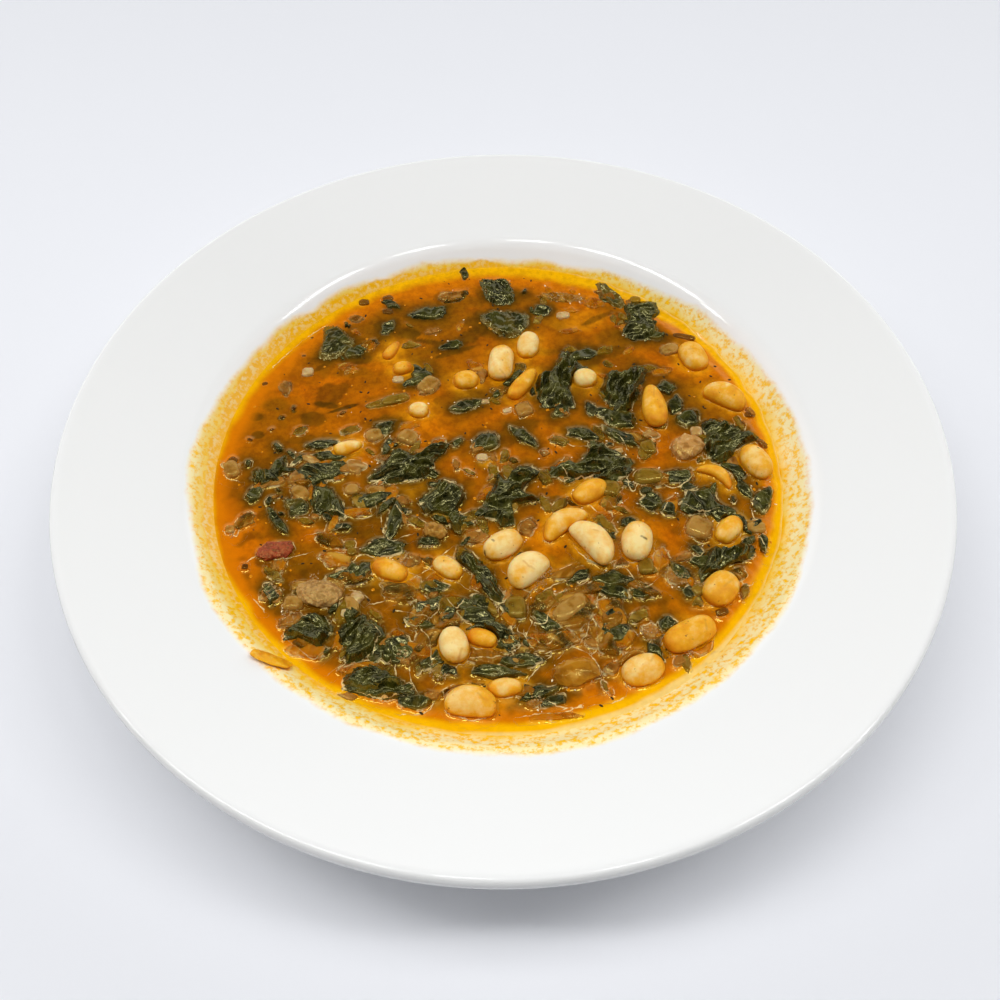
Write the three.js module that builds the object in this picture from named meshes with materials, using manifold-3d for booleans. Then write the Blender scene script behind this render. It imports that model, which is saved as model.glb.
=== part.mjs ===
// Bowl of escarole and bean soup: a wide-rimmed white plate with broth, beans, greens and chunks.
// Millimetres, +Z up. The origin is on the table, under the middle of the plate.
import * as THREE from 'three';
import { mergeVertices } from 'three/addons/utils/BufferGeometryUtils.js';
import Module from 'manifold-3d';

const wasm = await Module();
wasm.setup();

// Driving dimensions of the plate, radii from its axis and heights from the table
const plate = {
  radius: 140,
  segments: 60,
  curveSteps: 3,
  wellSteps: 8,
  footInner: 70,
  footOuter: 78,
  footSlope: 1.2,
  baseRise: 2.6,
  wellFloorRadius: 62,
  wellFloorHeight: 8,
  wallTop: { radius: 99.5, height: 27.6 },
  wallBend: { radius: 83, height: 8.4 },
  filletBend: { radius: 101.4, height: 29.7 },
  rimInner: { radius: 104, height: 30.6 },
  rimBend: { radius: 120, height: 35.3 },
  rimOuter: { radius: 136.5, height: 41.5 },
  lipHeight: 39.2,
  lipTopBend: 43.1,
  lipUnderBend: 36.4,
  underRimOuter: { radius: 136.5, height: 35.9 },
  underRimInner: { radius: 106, height: 25.2 },
  underWallBend: { radius: 98, height: 22 },
  underWallLow: { radius: 89, height: 8.4 },
};

// Level of the broth, and the gap kept between neighbouring pieces
const brothLevel = 22.4;
const gap = 0.3;
const upwards = new THREE.Vector3(0, 0, 1);

// Beans: facets, thickness as a share of the width up to a limit, how blunt the ends are, and how
// far the waist reaches from the middle as a share of the half length
const beanRings = 6;
const beanSides = 8;
const beanThickness = { share: 0.86, limit: 8 };
const beanBluntness = 0.82;
const waistReach = 0.35;

// Leaves and shreds: facets, thickness and how deep a shred lies in the broth. The sides draw in
// towards the ends, the corners are jittered by a share of a cell, and two waves ruffle the sheet.
const leafThickness = 0.9;
const leafCells = { columns: 5, rows: 3 };
const shredCells = { columns: 3, rows: 1 };
const shredThickness = 1;
const shredSink = 0.35;
const shredRuffle = 0.5;
const leafNarrowing = { length: 0.2, width: 0.4 };
const leafJitter = 0.45;
const leafWaves = { along: 3.4, across: 1.9 };
const leafMiddleShare = 0.65;

// Chunks: how square, how uneven, and how far the middle rises as a share of the height
const chunkSquareness = 3;
const chunkUnevenness = 0.2;
const chunkRise = 0.15;

// The places of the food were read from a picture of 1000 by 1000 pixels. This is how it was seen:
// the eye's height over the table and its distance in front of the plate's middle, in millimetres.
const view = {
  eye: { x: -0.9, y: -200.7, z: 288.6 },
  tiltDown: 55.05,
  roll: -0.68,
  focalPixels: 1000,
  middlePixel: 500,
};

const palette = {
  china: { color: 0xf1f1ef, roughness: 0.15 },
  broth: { color: 0xb5610b, roughness: 0.1 },
  bean: { color: 0xe9cd95, roughness: 0.3 },
  leaf: { color: 0x2b3320, roughness: 0.25 },
  onion: { color: 0xa8742e, roughness: 0.2 },
  meat: { color: 0x9a6a4a, roughness: 0.35 },
  tomato: { color: 0x9c3a22, roughness: 0.25 },
  pepper: { color: 0xd99a1c, roughness: 0.25 },
};

// Beans that break the surface: where each middle is seen, its size, its heading on the plate, how
// far its middle rises over the broth, how far one end is lifted, and its bow, waist and taper.
const beans = [
  { seenAt: [501, 363], length: 15.4, width: 10.2, heading: 84, rise: 1.6, waist: 0.14 },
  { seenAt: [528, 346], length: 11.5, width: 8, heading: 80, rise: 0.8, tilt: 8 },
  { seenAt: [466, 381], length: 9, width: 8, heading: 10, rise: 0.2 },
  { seenAt: [523, 384], length: 16, width: 7.6, heading: 57, rise: 0.6, taper: 0.35 },
  { seenAt: [585, 379], length: 8.5, width: 8, heading: 0, rise: 0.4 },
  { seenAt: [654, 405], length: 18, width: 11, heading: 93, rise: 2.2, taper: 0.45 },
  { seenAt: [693, 357], length: 13, width: 9.6, heading: 110, rise: 0.8 },
  { seenAt: [725, 397], length: 15.5, width: 10, heading: -32, rise: 0.9, bow: 0.06 },
  { seenAt: [756, 462], length: 13.5, width: 9.2, heading: 115, rise: 1.3 },
  { seenAt: [419, 411], length: 7, width: 6.6, heading: 0, rise: 0.2 },
  { seenAt: [348, 448], length: 10, width: 6.4, heading: 20, rise: 0.3, taper: 0.35 },
  { seenAt: [590, 492], length: 12.5, width: 7.8, heading: 32, rise: 0.5 },
  { seenAt: [564, 524], length: 16.5, width: 7.8, heading: 36, rise: 0.9, bow: 0.08 },
  { seenAt: [593, 542], length: 17.5, width: 9.6, heading: -53, rise: 2.2, bow: 0.07 },
  { seenAt: [637, 541], length: 13.6, width: 9.8, heading: 80, rise: 1.9 },
  { seenAt: [503, 545], length: 13, width: 9, heading: 33, rise: 1.4 },
  { seenAt: [528, 570], length: 14, width: 10.4, heading: 42, rise: 1.8, bow: 0.06 },
  { seenAt: [448, 568], length: 10.5, width: 6.6, heading: -36, rise: 0.5 },
  { seenAt: [390, 571], length: 12, width: 7, heading: -26, rise: 0 },
  { seenAt: [454, 645], length: 11.5, width: 8.6, heading: 105, rise: 1.2 },
  { seenAt: [482, 638], length: 9, width: 5.6, heading: -22, rise: 0.7 },
  { seenAt: [471, 703], length: 15, width: 9.6, heading: -6, rise: 1.3, bow: 0.05 },
  { seenAt: [505, 688], length: 10, width: 5.8, heading: 4, rise: 0.4 },
  { seenAt: [643, 670], length: 12.8, width: 9.2, heading: 22, rise: 1.2 },
  { seenAt: [690, 634], length: 16.8, width: 10, heading: 27, rise: 1.7, waist: 0.12 },
  { seenAt: [721, 589], length: 12.4, width: 10.2, heading: 50, rise: 1.1 },
  { seenAt: [729, 530], length: 11, width: 7.2, heading: 52, rise: 0.8 },
  { seenAt: [716, 476], length: 13, width: 4.6, heading: -38, rise: 0.6, bow: 0.14 },
  { seenAt: [392, 351], length: 9.5, width: 5.6, heading: 62, rise: 0.1, taper: 0.5 },
  { seenAt: [403, 369], length: 7, width: 5.8, heading: 15, rise: 0.2 },
];

// Leaves of escarole as large as a berry or larger, lying on the broth
const leaves = [
  { seenAt: [496, 288], length: 13, width: 11, heading: -15, ruffle: 2.4 },
  { seenAt: [500, 320], length: 17, width: 10.5, heading: 5, ruffle: 1.2 },
  { seenAt: [333, 343], length: 12, width: 11, heading: 70, ruffle: 1.2 },
  { seenAt: [641, 311], length: 15, width: 12, heading: -20, ruffle: 2.2 },
  { seenAt: [608, 291], length: 12, width: 8.5, heading: -40, ruffle: 1.5 },
  { seenAt: [555, 381], length: 20, width: 12.5, heading: 75, ruffle: 3.4 },
  { seenAt: [622, 384], length: 21, width: 13, heading: 105, ruffle: 3.6 },
  { seenAt: [724, 436], length: 17, width: 13, heading: -20, ruffle: 3 },
  { seenAt: [606, 462], length: 24, width: 11.5, heading: 4, ruffle: 3.4 },
  { seenAt: [706, 503], length: 17.5, width: 11.5, heading: -12, ruffle: 1.3 },
  { seenAt: [723, 558], length: 19, width: 9.5, heading: 6, ruffle: 2.8 },
  { seenAt: [413, 461], length: 21.5, width: 13, heading: 3, ruffle: 3.4 },
  { seenAt: [321, 466], length: 15, width: 11.5, heading: 10, ruffle: 1.4 },
  { seenAt: [268, 470], length: 12.5, width: 10.5, heading: 20, ruffle: 1.3 },
  { seenAt: [323, 503], length: 14, width: 10, heading: 80, ruffle: 1.3 },
  { seenAt: [447, 497], length: 15.5, width: 12, heading: 60, ruffle: 2.8 },
  { seenAt: [506, 498], length: 19, width: 15.5, heading: 45, ruffle: 3.4 },
  { seenAt: [484, 574], length: 20, width: 7.6, heading: -52, ruffle: 2.6 },
  { seenAt: [306, 630], length: 16, width: 11.5, heading: 10, ruffle: 2.8 },
  { seenAt: [358, 637], length: 18, width: 12.5, heading: -60, ruffle: 3 },
  { seenAt: [382, 682], length: 21, width: 9.5, heading: -12, ruffle: 3.2 },
  { seenAt: [500, 630], length: 15.5, width: 9.5, heading: -18, ruffle: 2.6 },
];

// Shreds and scraps smaller than that, fused to the broth
const shreds = [
  { seenAt: [429, 312], length: 15, width: 6.5, heading: 8 },
  { seenAt: [384, 547], length: 14.5, width: 7.2, heading: -8 },
  { seenAt: [543, 309], length: 7.5, width: 5.5, heading: 10 },
  { seenAt: [584, 354], length: 12, width: 6, heading: 12 },
  { seenAt: [680, 395], length: 15, width: 5.5, heading: 80 },
  { seenAt: [604, 412], length: 9, width: 5, heading: -20 },
  { seenAt: [421, 376], length: 11, width: 6, heading: 55 },
  { seenAt: [466, 404], length: 12, width: 6, heading: 15 },
  { seenAt: [488, 443], length: 8.5, width: 8, heading: 30 },
  { seenAt: [519, 435], length: 11.5, width: 4, heading: -48 },
  { seenAt: [680, 476], length: 11, width: 6.5, heading: 5 },
  { seenAt: [651, 500], length: 8, width: 7.5, heading: 20 },
  { seenAt: [763, 498], length: 11, width: 6, heading: 70 },
  { seenAt: [742, 490], length: 12, width: 3.4, heading: -58 },
  { seenAt: [356, 502], length: 9, width: 4.6, heading: 65 },
  { seenAt: [253, 498], length: 8, width: 5, heading: 75 },
  { seenAt: [279, 518], length: 10, width: 3.6, heading: -40 },
  { seenAt: [394, 514], length: 13, width: 4.4, heading: 78 },
  { seenAt: [460, 520], length: 8, width: 5, heading: 15 },
  { seenAt: [613, 578], length: 13, width: 6.4, heading: -4 },
  { seenAt: [611, 622], length: 12, width: 4.6, heading: 52 },
  { seenAt: [655, 651], length: 8.5, width: 4.2, heading: 105 },
  { seenAt: [539, 691], length: 11.5, width: 4.6, heading: 16 },
  { seenAt: [494, 671], length: 17, width: 4.8, heading: -8 },
  { seenAt: [402, 653], length: 9, width: 5.5, heading: 30 },
  { seenAt: [415, 702], length: 9, width: 5, heading: -15 },
  { seenAt: [270, 592], length: 9, width: 5, heading: -60 },
  { seenAt: [429, 604], length: 10, width: 5, heading: 25 },
  { seenAt: [545, 620], length: 11, width: 4.6, heading: -38 },
  { seenAt: [561, 409], length: 8, width: 4.4, heading: 40 },
  { seenAt: [654, 335], length: 8.5, width: 4.4, heading: -10 },
  { seenAt: [390, 305], length: 8, width: 4.2, heading: -35 },
  { seenAt: [452, 345], length: 9, width: 4, heading: 12 },
  { seenAt: [680, 571], length: 9, width: 4.4, heading: -50 },
  { seenAt: [764, 542], length: 7.5, width: 3.6, heading: 80 },
  { seenAt: [341, 575], length: 9, width: 4, heading: 18 },
];

// Chunks of vegetable and meat, lying in the broth
const chunks = [
  { name: 'onion_01', kind: 'onion', seenAt: [577, 672], length: 14, width: 9, height: 5, heading: 10 },
  { name: 'onion_02', kind: 'onion', seenAt: [436, 531], length: 9, width: 6, height: 4, heading: -20 },
  { name: 'meat_01', kind: 'meat', seenAt: [687, 447], length: 12, width: 10, height: 5.4, heading: 30 },
  { name: 'meat_02', kind: 'meat', seenAt: [320, 594], length: 15, width: 9.5, height: 5, heading: -6 },
  { name: 'tomato_01', kind: 'tomato', seenAt: [275, 551], length: 12, width: 7, height: 4, heading: 12 },
];

// The strip of pepper left on the wall of the plate, over the broth
const pepperStrip = {
  seenAt: [272, 661],
  length: 11,
  width: 4.6,
  thickness: 1.4,
  heading: -12,
  lift: 0.5,
  narrowing: 0.45,
  cells: { columns: 6, rows: 2 },
};

function seededDraws(seed) {
  let state = seed * 2654435761;
  return () => {
    state = (state + 0x6d2b79f5) | 0;
    let mixed = Math.imul(state ^ (state >>> 15), 1 | state);
    mixed = (mixed + Math.imul(mixed ^ (mixed >>> 7), 61 | mixed)) ^ mixed;
    return ((mixed ^ (mixed >>> 14)) >>> 0) / 4294967296;
  };
}

// The point at a height over the table that is seen at a pixel of the picture
function seenPoint(seenAt, height) {
  const tilt = THREE.MathUtils.degToRad(view.tiltDown);
  const roll = THREE.MathUtils.degToRad(view.roll);
  const forward = new THREE.Vector3(0, Math.cos(tilt), -Math.sin(tilt));
  const right = new THREE.Vector3(1, 0, 0);
  const up = new THREE.Vector3(0, Math.sin(tilt), Math.cos(tilt));
  const across = seenAt[0] - view.middlePixel;
  const down = seenAt[1] - view.middlePixel;
  const ray = forward.multiplyScalar(view.focalPixels);
  ray.addScaledVector(right, Math.cos(roll) * across + Math.sin(roll) * down);
  ray.addScaledVector(up, Math.sin(roll) * across - Math.cos(roll) * down);
  const eye = new THREE.Vector3(view.eye.x, view.eye.y, view.eye.z);
  return eye.addScaledVector(ray, (height - eye.z) / ray.z);
}

// A geometry with its shared corners merged and no triangle without area
function closedGeometry(geometry) {
  const bare = new THREE.BufferGeometry();
  bare.setAttribute('position', geometry.getAttribute('position').clone());
  bare.setIndex(geometry.getIndex());
  const merged = mergeVertices(bare);
  const corners = merged.getIndex().array;
  const kept = [];
  for (let i = 0; i < corners.length; i += 3) {
    const [a, b, c] = corners.slice(i, i + 3);
    if (a !== b && b !== c && c !== a) kept.push(a, b, c);
  }
  merged.setIndex(kept);
  return merged;
}

function toSolid(geometry) {
  const closed = closedGeometry(geometry);
  const mesh = new wasm.Mesh({
    numProp: 3,
    vertProperties: new Float32Array(closed.getAttribute('position').array),
    triVerts: new Uint32Array(closed.getIndex().array),
  });
  return new wasm.Manifold(mesh);
}

function toGeometry(solid) {
  const mesh = solid.getMesh();
  const geometry = new THREE.BufferGeometry();
  geometry.setAttribute('position', new THREE.BufferAttribute(new Float32Array(mesh.vertProperties), 3));
  geometry.setIndex(new THREE.BufferAttribute(new Uint32Array(mesh.triVerts), 1));
  return geometry;
}

// The largest piece of a solid that a cut has left in several
function largestPiece(solid) {
  const pieces = solid.decompose();
  return pieces.reduce((best, piece) => (piece.volume() > best.volume() ? piece : best));
}

function boxesMeet(one, other) {
  const a = one.boundingBox();
  const b = other.boundingBox();
  return [0, 1, 2].every((axis) => a.min[axis] < b.max[axis] && b.min[axis] < a.max[axis]);
}

function cutAway(solid, tools) {
  return tools.filter((tool) => boxesMeet(solid, tool)).reduce((rest, tool) => rest.subtract(tool), solid);
}

function turned(profile) {
  const geometry = new THREE.LatheGeometry(profile, plate.segments);
  return geometry.rotateX(Math.PI / 2);
}

// The top of the well, from the axis up to the top of its wall
function wellLine() {
  const line = new THREE.Path();
  line.moveTo(0, plate.wellFloorHeight);
  line.lineTo(plate.wellFloorRadius, plate.wellFloorHeight);
  line.quadraticCurveTo(
    plate.wallBend.radius, plate.wallBend.height,
    plate.wallTop.radius, plate.wallTop.height,
  );
  return line.getPoints(plate.wellSteps);
}

// The top of the rim, from the lip's outer edge in to the top of the wall
function rimLine() {
  const line = new THREE.Path();
  line.moveTo(plate.radius, plate.lipHeight);
  line.quadraticCurveTo(
    plate.radius, plate.lipTopBend,
    plate.rimOuter.radius, plate.rimOuter.height,
  );
  line.quadraticCurveTo(
    plate.rimBend.radius, plate.rimBend.height,
    plate.rimInner.radius, plate.rimInner.height,
  );
  line.quadraticCurveTo(
    plate.filletBend.radius, plate.filletBend.height,
    plate.wallTop.radius, plate.wallTop.height,
  );
  return line.getPoints(plate.curveSteps);
}

// The underside, from the axis out over the foot to the lip's outer edge
function undersideLine() {
  const line = new THREE.Path();
  line.moveTo(0, plate.baseRise);
  line.lineTo(plate.footInner - plate.footSlope, plate.baseRise);
  line.lineTo(plate.footInner, 0);
  line.lineTo(plate.footOuter, 0);
  line.lineTo(plate.footOuter + plate.footSlope, plate.baseRise);
  line.lineTo(plate.underWallLow.radius, plate.underWallLow.height);
  line.quadraticCurveTo(
    plate.underWallBend.radius, plate.underWallBend.height,
    plate.underRimInner.radius, plate.underRimInner.height,
  );
  line.lineTo(plate.underRimOuter.radius, plate.underRimOuter.height);
  line.quadraticCurveTo(plate.radius, plate.lipUnderBend, plate.radius, plate.lipHeight);
  return line.getPoints(plate.curveSteps);
}

function plateGeometry() {
  const top = [...rimLine(), ...wellLine().reverse().slice(1)];
  return turned([...undersideLine(), ...top.slice(1)]);
}

// The height of the plate's upper face at a distance from its axis
function plateTop(radius) {
  const top = [...wellLine(), ...rimLine().reverse().slice(1)];
  const next = top.findIndex((point) => point.x > radius);
  const [inner, outer] = [top[next - 1], top[next]];
  return THREE.MathUtils.mapLinear(radius, inner.x, outer.x, inner.y, outer.y);
}

// The broth follows the well at a small gap and ends level
function brothGeometry() {
  const wall = wellLine();
  const lowered = wall.map((point, i) => {
    const before = wall[Math.max(i - 1, 0)];
    const after = wall[Math.min(i + 1, wall.length - 1)];
    const along = after.clone().sub(before).normalize();
    return i === 0 ? point.clone().add(new THREE.Vector2(0, gap))
      : point.clone().add(new THREE.Vector2(-along.y, along.x).multiplyScalar(gap));
  });
  const under = lowered.filter((point) => point.y < brothLevel);
  const below = under[under.length - 1];
  const above = lowered[under.length];
  const share = (brothLevel - below.y) / (above.y - below.y);
  const edge = below.clone().lerp(above, share);
  return turned([...under, edge, new THREE.Vector2(0, brothLevel)]);
}

// A bean is a ball drawn out along X, bowed sideways, drawn in at its waist and narrowed to one end
function beanGeometry(bean, extra) {
  const { length, width, heading, rise, tilt = 0, bow = 0, waist = 0, taper = 0 } = bean;
  const thickness = Math.min(width * beanThickness.share, beanThickness.limit);
  const geometry = new THREE.SphereGeometry(1, beanSides, beanRings).rotateZ(-Math.PI / 2);
  const points = geometry.getAttribute('position');
  const half = new THREE.Vector3(length / 2 + extra, width / 2 + extra, thickness / 2 + extra);
  for (let i = 0; i < points.count; i += 1) {
    const along = points.getX(i);
    const ringRadius = Math.sqrt(Math.max(1 - along * along, 0));
    const isEnd = ringRadius < 0.01;
    const blunt = isEnd ? 0 : Math.pow(ringRadius, beanBluntness) / ringRadius;
    const slim = 1 - waist * Math.exp(-Math.pow(along / waistReach, 2)) - taper * (along + 1) / 2;
    const wide = blunt * slim;
    const side = points.getY(i) * wide * half.y + bow * length * (1 - 2 * along * along);
    points.setXYZ(i, along * half.x, side, points.getZ(i) * wide * half.z);
  }
  const middle = seenPoint(bean.seenAt, brothLevel + rise);
  geometry.rotateY(-THREE.MathUtils.degToRad(tilt));
  geometry.rotateZ(THREE.MathUtils.degToRad(heading));
  return geometry.translate(middle.x, middle.y, middle.z);
}

// A thin solid over a grid of cells: its upper and lower faces are split into triangles alike
function thinGeometry(columns, rows, thickness, place) {
  const positions = [];
  const index = [];
  for (const side of [0, thickness]) {
    for (let row = 0; row <= rows; row += 1) {
      for (let column = 0; column <= columns; column += 1) {
        const point = place(column, row);
        positions.push(point.x, point.y, point.z + side);
      }
    }
  }
  const stride = columns + 1;
  const upper = stride * (rows + 1);
  for (let row = 0; row < rows; row += 1) {
    for (let column = 0; column < columns; column += 1) {
      const a = row * stride + column;
      const [b, c, d] = [a + 1, a + stride + 1, a + stride];
      index.push(a, c, b, a, d, c);
      index.push(upper + a, upper + b, upper + c, upper + a, upper + c, upper + d);
    }
  }
  const rim = [];
  for (let column = 0; column < columns; column += 1) rim.push(column);
  for (let row = 0; row < rows; row += 1) rim.push(row * stride + columns);
  for (let column = columns; column > 0; column -= 1) rim.push(rows * stride + column);
  for (let row = rows; row > 0; row -= 1) rim.push(row * stride);
  rim.forEach((a, i) => {
    const b = rim[(i + 1) % rim.length];
    index.push(a, b, upper + b, a, upper + b, upper + a);
  });
  const geometry = new THREE.BufferGeometry();
  geometry.setAttribute('position', new THREE.Float32BufferAttribute(positions, 3));
  geometry.setIndex(index);
  return geometry;
}

// A chopped leaf: a ragged, rounded sheet with ruffles, its low points at the given height
function leafGeometry(leaf, seed, cells, thickness, base, extra) {
  const draw = seededDraws(seed);
  const length = leaf.length + 2 * extra;
  const width = leaf.width + 2 * extra;
  const ruffle = leaf.ruffle ?? shredRuffle;
  const phase = draw() * Math.PI * 2;
  const skew = draw() * 2 - 1;
  const jitters = [];
  for (let i = 0; i < (cells.columns + 1) * (cells.rows + 1); i += 1) {
    jitters.push([draw() - 0.5, draw() - 0.5]);
  }
  const geometry = thinGeometry(cells.columns, cells.rows, thickness + 2 * extra, (column, row) => {
    const u = (2 * column) / cells.columns - 1;
    const v = (2 * row) / cells.rows - 1;
    const [jitterX, jitterY] = jitters[row * (cells.columns + 1) + column];
    const endShare = 1 - leafNarrowing.length * v * v;
    const sideShare = 1 - leafNarrowing.width * Math.abs(u * u * u);
    const x = ((u * endShare) / 2 + (leafJitter * jitterX) / cells.columns) * length;
    const y = ((v * sideShare) / 2 + (leafJitter * jitterY) / cells.rows) * width;
    const waveAlong = Math.sin(phase + u * leafWaves.along + skew * v);
    const waveAcross = Math.cos(phase * 2 + v * leafWaves.across);
    const rise = 0.5 + 0.5 * waveAlong * waveAcross;
    const outwards = (u * u + v * v) / 2;
    const share = THREE.MathUtils.lerp(leafMiddleShare, 1, outwards);
    return new THREE.Vector3(x, y, ruffle * rise * share - extra);
  });
  const middle = seenPoint(leaf.seenAt, base + ruffle / 2);
  geometry.rotateZ(THREE.MathUtils.degToRad(leaf.heading));
  return geometry.translate(middle.x, middle.y, base);
}

// A chunk is a rounded lump with uneven sides, half sunk in the broth
function chunkGeometry(chunk, seed, extra) {
  const draw = seededDraws(seed);
  const geometry = closedGeometry(new THREE.IcosahedronGeometry(1, 1));
  const points = geometry.getAttribute('position');
  const half = [chunk.length / 2, chunk.width / 2, chunk.height / 2];
  for (let i = 0; i < points.count; i += 1) {
    const parts = [points.getX(i), points.getY(i), points.getZ(i)];
    const powers = parts.map((part) => Math.pow(Math.abs(part), chunkSquareness));
    const square = 1 / Math.pow(powers[0] + powers[1] + powers[2], 1 / chunkSquareness);
    const uneven = square * (1 - chunkUnevenness + chunkUnevenness * draw());
    points.setXYZ(
      i,
      parts[0] * (half[0] * uneven + extra),
      parts[1] * (half[1] * uneven + extra),
      parts[2] * (half[2] * uneven + extra),
    );
  }
  const middle = seenPoint(chunk.seenAt, brothLevel + chunk.height * chunkRise);
  geometry.rotateZ(THREE.MathUtils.degToRad(chunk.heading));
  return geometry.translate(middle.x, middle.y, middle.z);
}

// The strip lies on the wall of the plate and follows it
function pepperGeometry() {
  const { length, width, thickness, heading, lift, narrowing, cells } = pepperStrip;
  const middle = seenPoint(pepperStrip.seenAt, plate.wallTop.height);
  const along = new THREE.Vector3(1, 0, 0).applyAxisAngle(upwards, THREE.MathUtils.degToRad(heading));
  const across = along.clone().applyAxisAngle(upwards, Math.PI / 2);
  return thinGeometry(cells.columns, cells.rows, thickness, (column, row) => {
    const u = (2 * column) / cells.columns - 1;
    const v = ((2 * row) / cells.rows - 1) * (1 - narrowing * u * u);
    const point = middle.clone().addScaledVector(along, (u * length) / 2);
    point.addScaledVector(across, (v * width) / 2);
    return point.setZ(plateTop(Math.hypot(point.x, point.y)) + lift);
  });
}

function named(name, geometry, { color, roughness }) {
  const material = new THREE.MeshStandardMaterial({ color, roughness, metalness: 0 });
  const mesh = new THREE.Mesh(geometry, material);
  mesh.name = name;
  return mesh;
}

function numbered(kind, i) {
  return `${kind}_${String(i + 1).padStart(2, '0')}`;
}

const bowlOfSoup = new THREE.Group();
bowlOfSoup.add(named('plate', plateGeometry(), palette.china));
bowlOfSoup.add(named('pepper_strip', pepperGeometry(), palette.pepper));

const neighbours = [];
beans.forEach((bean, i) => {
  bowlOfSoup.add(named(numbered('bean', i), beanGeometry(bean, 0), palette.bean));
  neighbours.push(toSolid(beanGeometry(bean, gap)));
});

chunks.forEach((chunk, i) => {
  const solid = largestPiece(cutAway(toSolid(chunkGeometry(chunk, i + 1, 0)), neighbours));
  bowlOfSoup.add(named(chunk.name, toGeometry(solid), palette[chunk.kind]));
  neighbours.push(toSolid(chunkGeometry(chunk, i + 1, gap)));
});

leaves.forEach((leaf, i) => {
  const lying = (extra) => toSolid(
    leafGeometry(leaf, i + 1, leafCells, leafThickness, brothLevel + gap, extra),
  );
  const solid = largestPiece(cutAway(lying(0), neighbours));
  bowlOfSoup.add(named(numbered('leaf', i), toGeometry(solid), palette.leaf));
  neighbours.push(lying(gap));
});

let broth = toSolid(brothGeometry());
shreds.forEach((shred, i) => {
  const seed = leaves.length + i + 1;
  const lying = leafGeometry(shred, seed, shredCells, shredThickness, brothLevel - shredSink, 0);
  broth = broth.add(toSolid(lying));
});
broth = largestPiece(cutAway(broth, neighbours));
bowlOfSoup.add(named('broth', toGeometry(broth), palette.broth));

export default bowlOfSoup;
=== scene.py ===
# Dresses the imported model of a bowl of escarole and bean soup: glazed plate, broth, beans, greens.
import math

import bmesh
import bpy
import numpy as np
from mathutils import Matrix, Vector
from mathutils.kdtree import KDTree


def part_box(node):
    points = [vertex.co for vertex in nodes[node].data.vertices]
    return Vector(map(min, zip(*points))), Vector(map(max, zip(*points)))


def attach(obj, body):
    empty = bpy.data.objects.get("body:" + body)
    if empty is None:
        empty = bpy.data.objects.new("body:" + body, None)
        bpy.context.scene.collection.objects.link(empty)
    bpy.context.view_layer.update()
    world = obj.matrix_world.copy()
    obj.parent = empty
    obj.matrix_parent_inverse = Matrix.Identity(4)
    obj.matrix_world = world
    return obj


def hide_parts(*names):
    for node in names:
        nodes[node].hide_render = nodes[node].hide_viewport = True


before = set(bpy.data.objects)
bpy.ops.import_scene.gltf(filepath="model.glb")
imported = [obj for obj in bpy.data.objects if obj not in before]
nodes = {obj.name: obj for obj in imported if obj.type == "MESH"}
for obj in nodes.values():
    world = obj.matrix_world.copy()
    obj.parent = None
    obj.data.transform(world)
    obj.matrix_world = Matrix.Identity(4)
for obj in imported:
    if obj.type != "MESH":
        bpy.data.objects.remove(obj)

scene = bpy.context.scene
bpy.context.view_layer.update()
mm = 0.001

# How the reference picture was taken, in millimetres, degrees and pixels of its 1000 by 1000 frame
picture = {
    "eye": (-0.88, -200.73, 288.55),
    "tiltDown": 55.05,
    "roll": -0.68,
    "focalPixels": 1000.0,
    "framePixels": 1000.0,
    "sensorWidth": 36.0,
    "nearest": 0.01,
    "farthest": 50.0,
}

# Plate profile, as the model has it: radius and height in millimetres, with the bends between them
plate = {
    "wellFloor": (62, 8),
    "wallBend": (83, 8.4),
    "wallTop": (99.5, 27.6),
    "filletBend": (101.4, 29.7),
    "rimInner": (104, 30.6),
    "rimBend": (120, 35.3),
    "rimOuter": (136.5, 41.5),
    "lipTopBend": (140, 43.1),
    "lipSide": (140, 39.2),
    "lipUnderBend": (140, 36.4),
    "underRimOuter": (136.5, 35.9),
    "underRimInner": (106, 25.2),
    "underWallBend": (98, 22),
    "underWallLow": (89, 8.4),
    "footOuter": (78, 0),
    "footInner": (70, 0),
    "footSlope": 1.2,
    "baseRise": 2.6,
    "turns": 256,
    "bendSteps": 12,
    "flatSteps": 8,
    "sharpFrom": 48,
}

brothLevel = 22.4  # height of the broth over the table


def seenPoints(pixels, height):
    # the points at a height in millimetres that are seen at pixels of the picture
    offsets = np.atleast_2d(np.array(pixels, float)) - picture["framePixels"] / 2
    tilt = math.radians(picture["tiltDown"])
    roll = math.radians(picture["roll"])
    across = math.cos(roll) * offsets[:, 0] + math.sin(roll) * offsets[:, 1]
    down = math.cos(roll) * offsets[:, 1] - math.sin(roll) * offsets[:, 0]
    forward = np.array([0, math.cos(tilt), -math.sin(tilt)])
    up = np.array([0, math.sin(tilt), math.cos(tilt)])
    rays = picture["focalPixels"] * forward - down[:, None] * up
    rays[:, 0] += across
    eye = np.array(picture["eye"])
    return eye + rays * ((height - eye[2]) / rays[:, 2])[:, None]


def soften(value, low, high):
    share = np.clip((value - low) / (high - low), 0, 1)
    return share * share * (3 - 2 * share)


def hills(x, y, seed):
    # smooth random hills and dips from -1 to 1, about one to each unit square; the large numbers only scatter
    # the slopes of its corners
    x0, y0 = np.floor(x), np.floor(y)
    fx, fy = x - x0, y - y0

    def corner(dx, dy):
        mixed = np.sin((x0 + dx) * 127.1 + (y0 + dy) * 311.7 + seed * 74.7) * 43758.5453
        turn = 2 * math.pi * (mixed - np.floor(mixed))
        return np.cos(turn) * (fx - dx) + np.sin(turn) * (fy - dy)

    sx = fx ** 3 * (fx * (6 * fx - 15) + 10)
    sy = fy ** 3 * (fy * (6 * fy - 15) + 10)
    near = corner(0, 0) * (1 - sx) + corner(1, 0) * sx
    far = corner(0, 1) * (1 - sx) + corner(1, 1) * sx
    return 1.5 * (near * (1 - sy) + far * sy)


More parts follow.
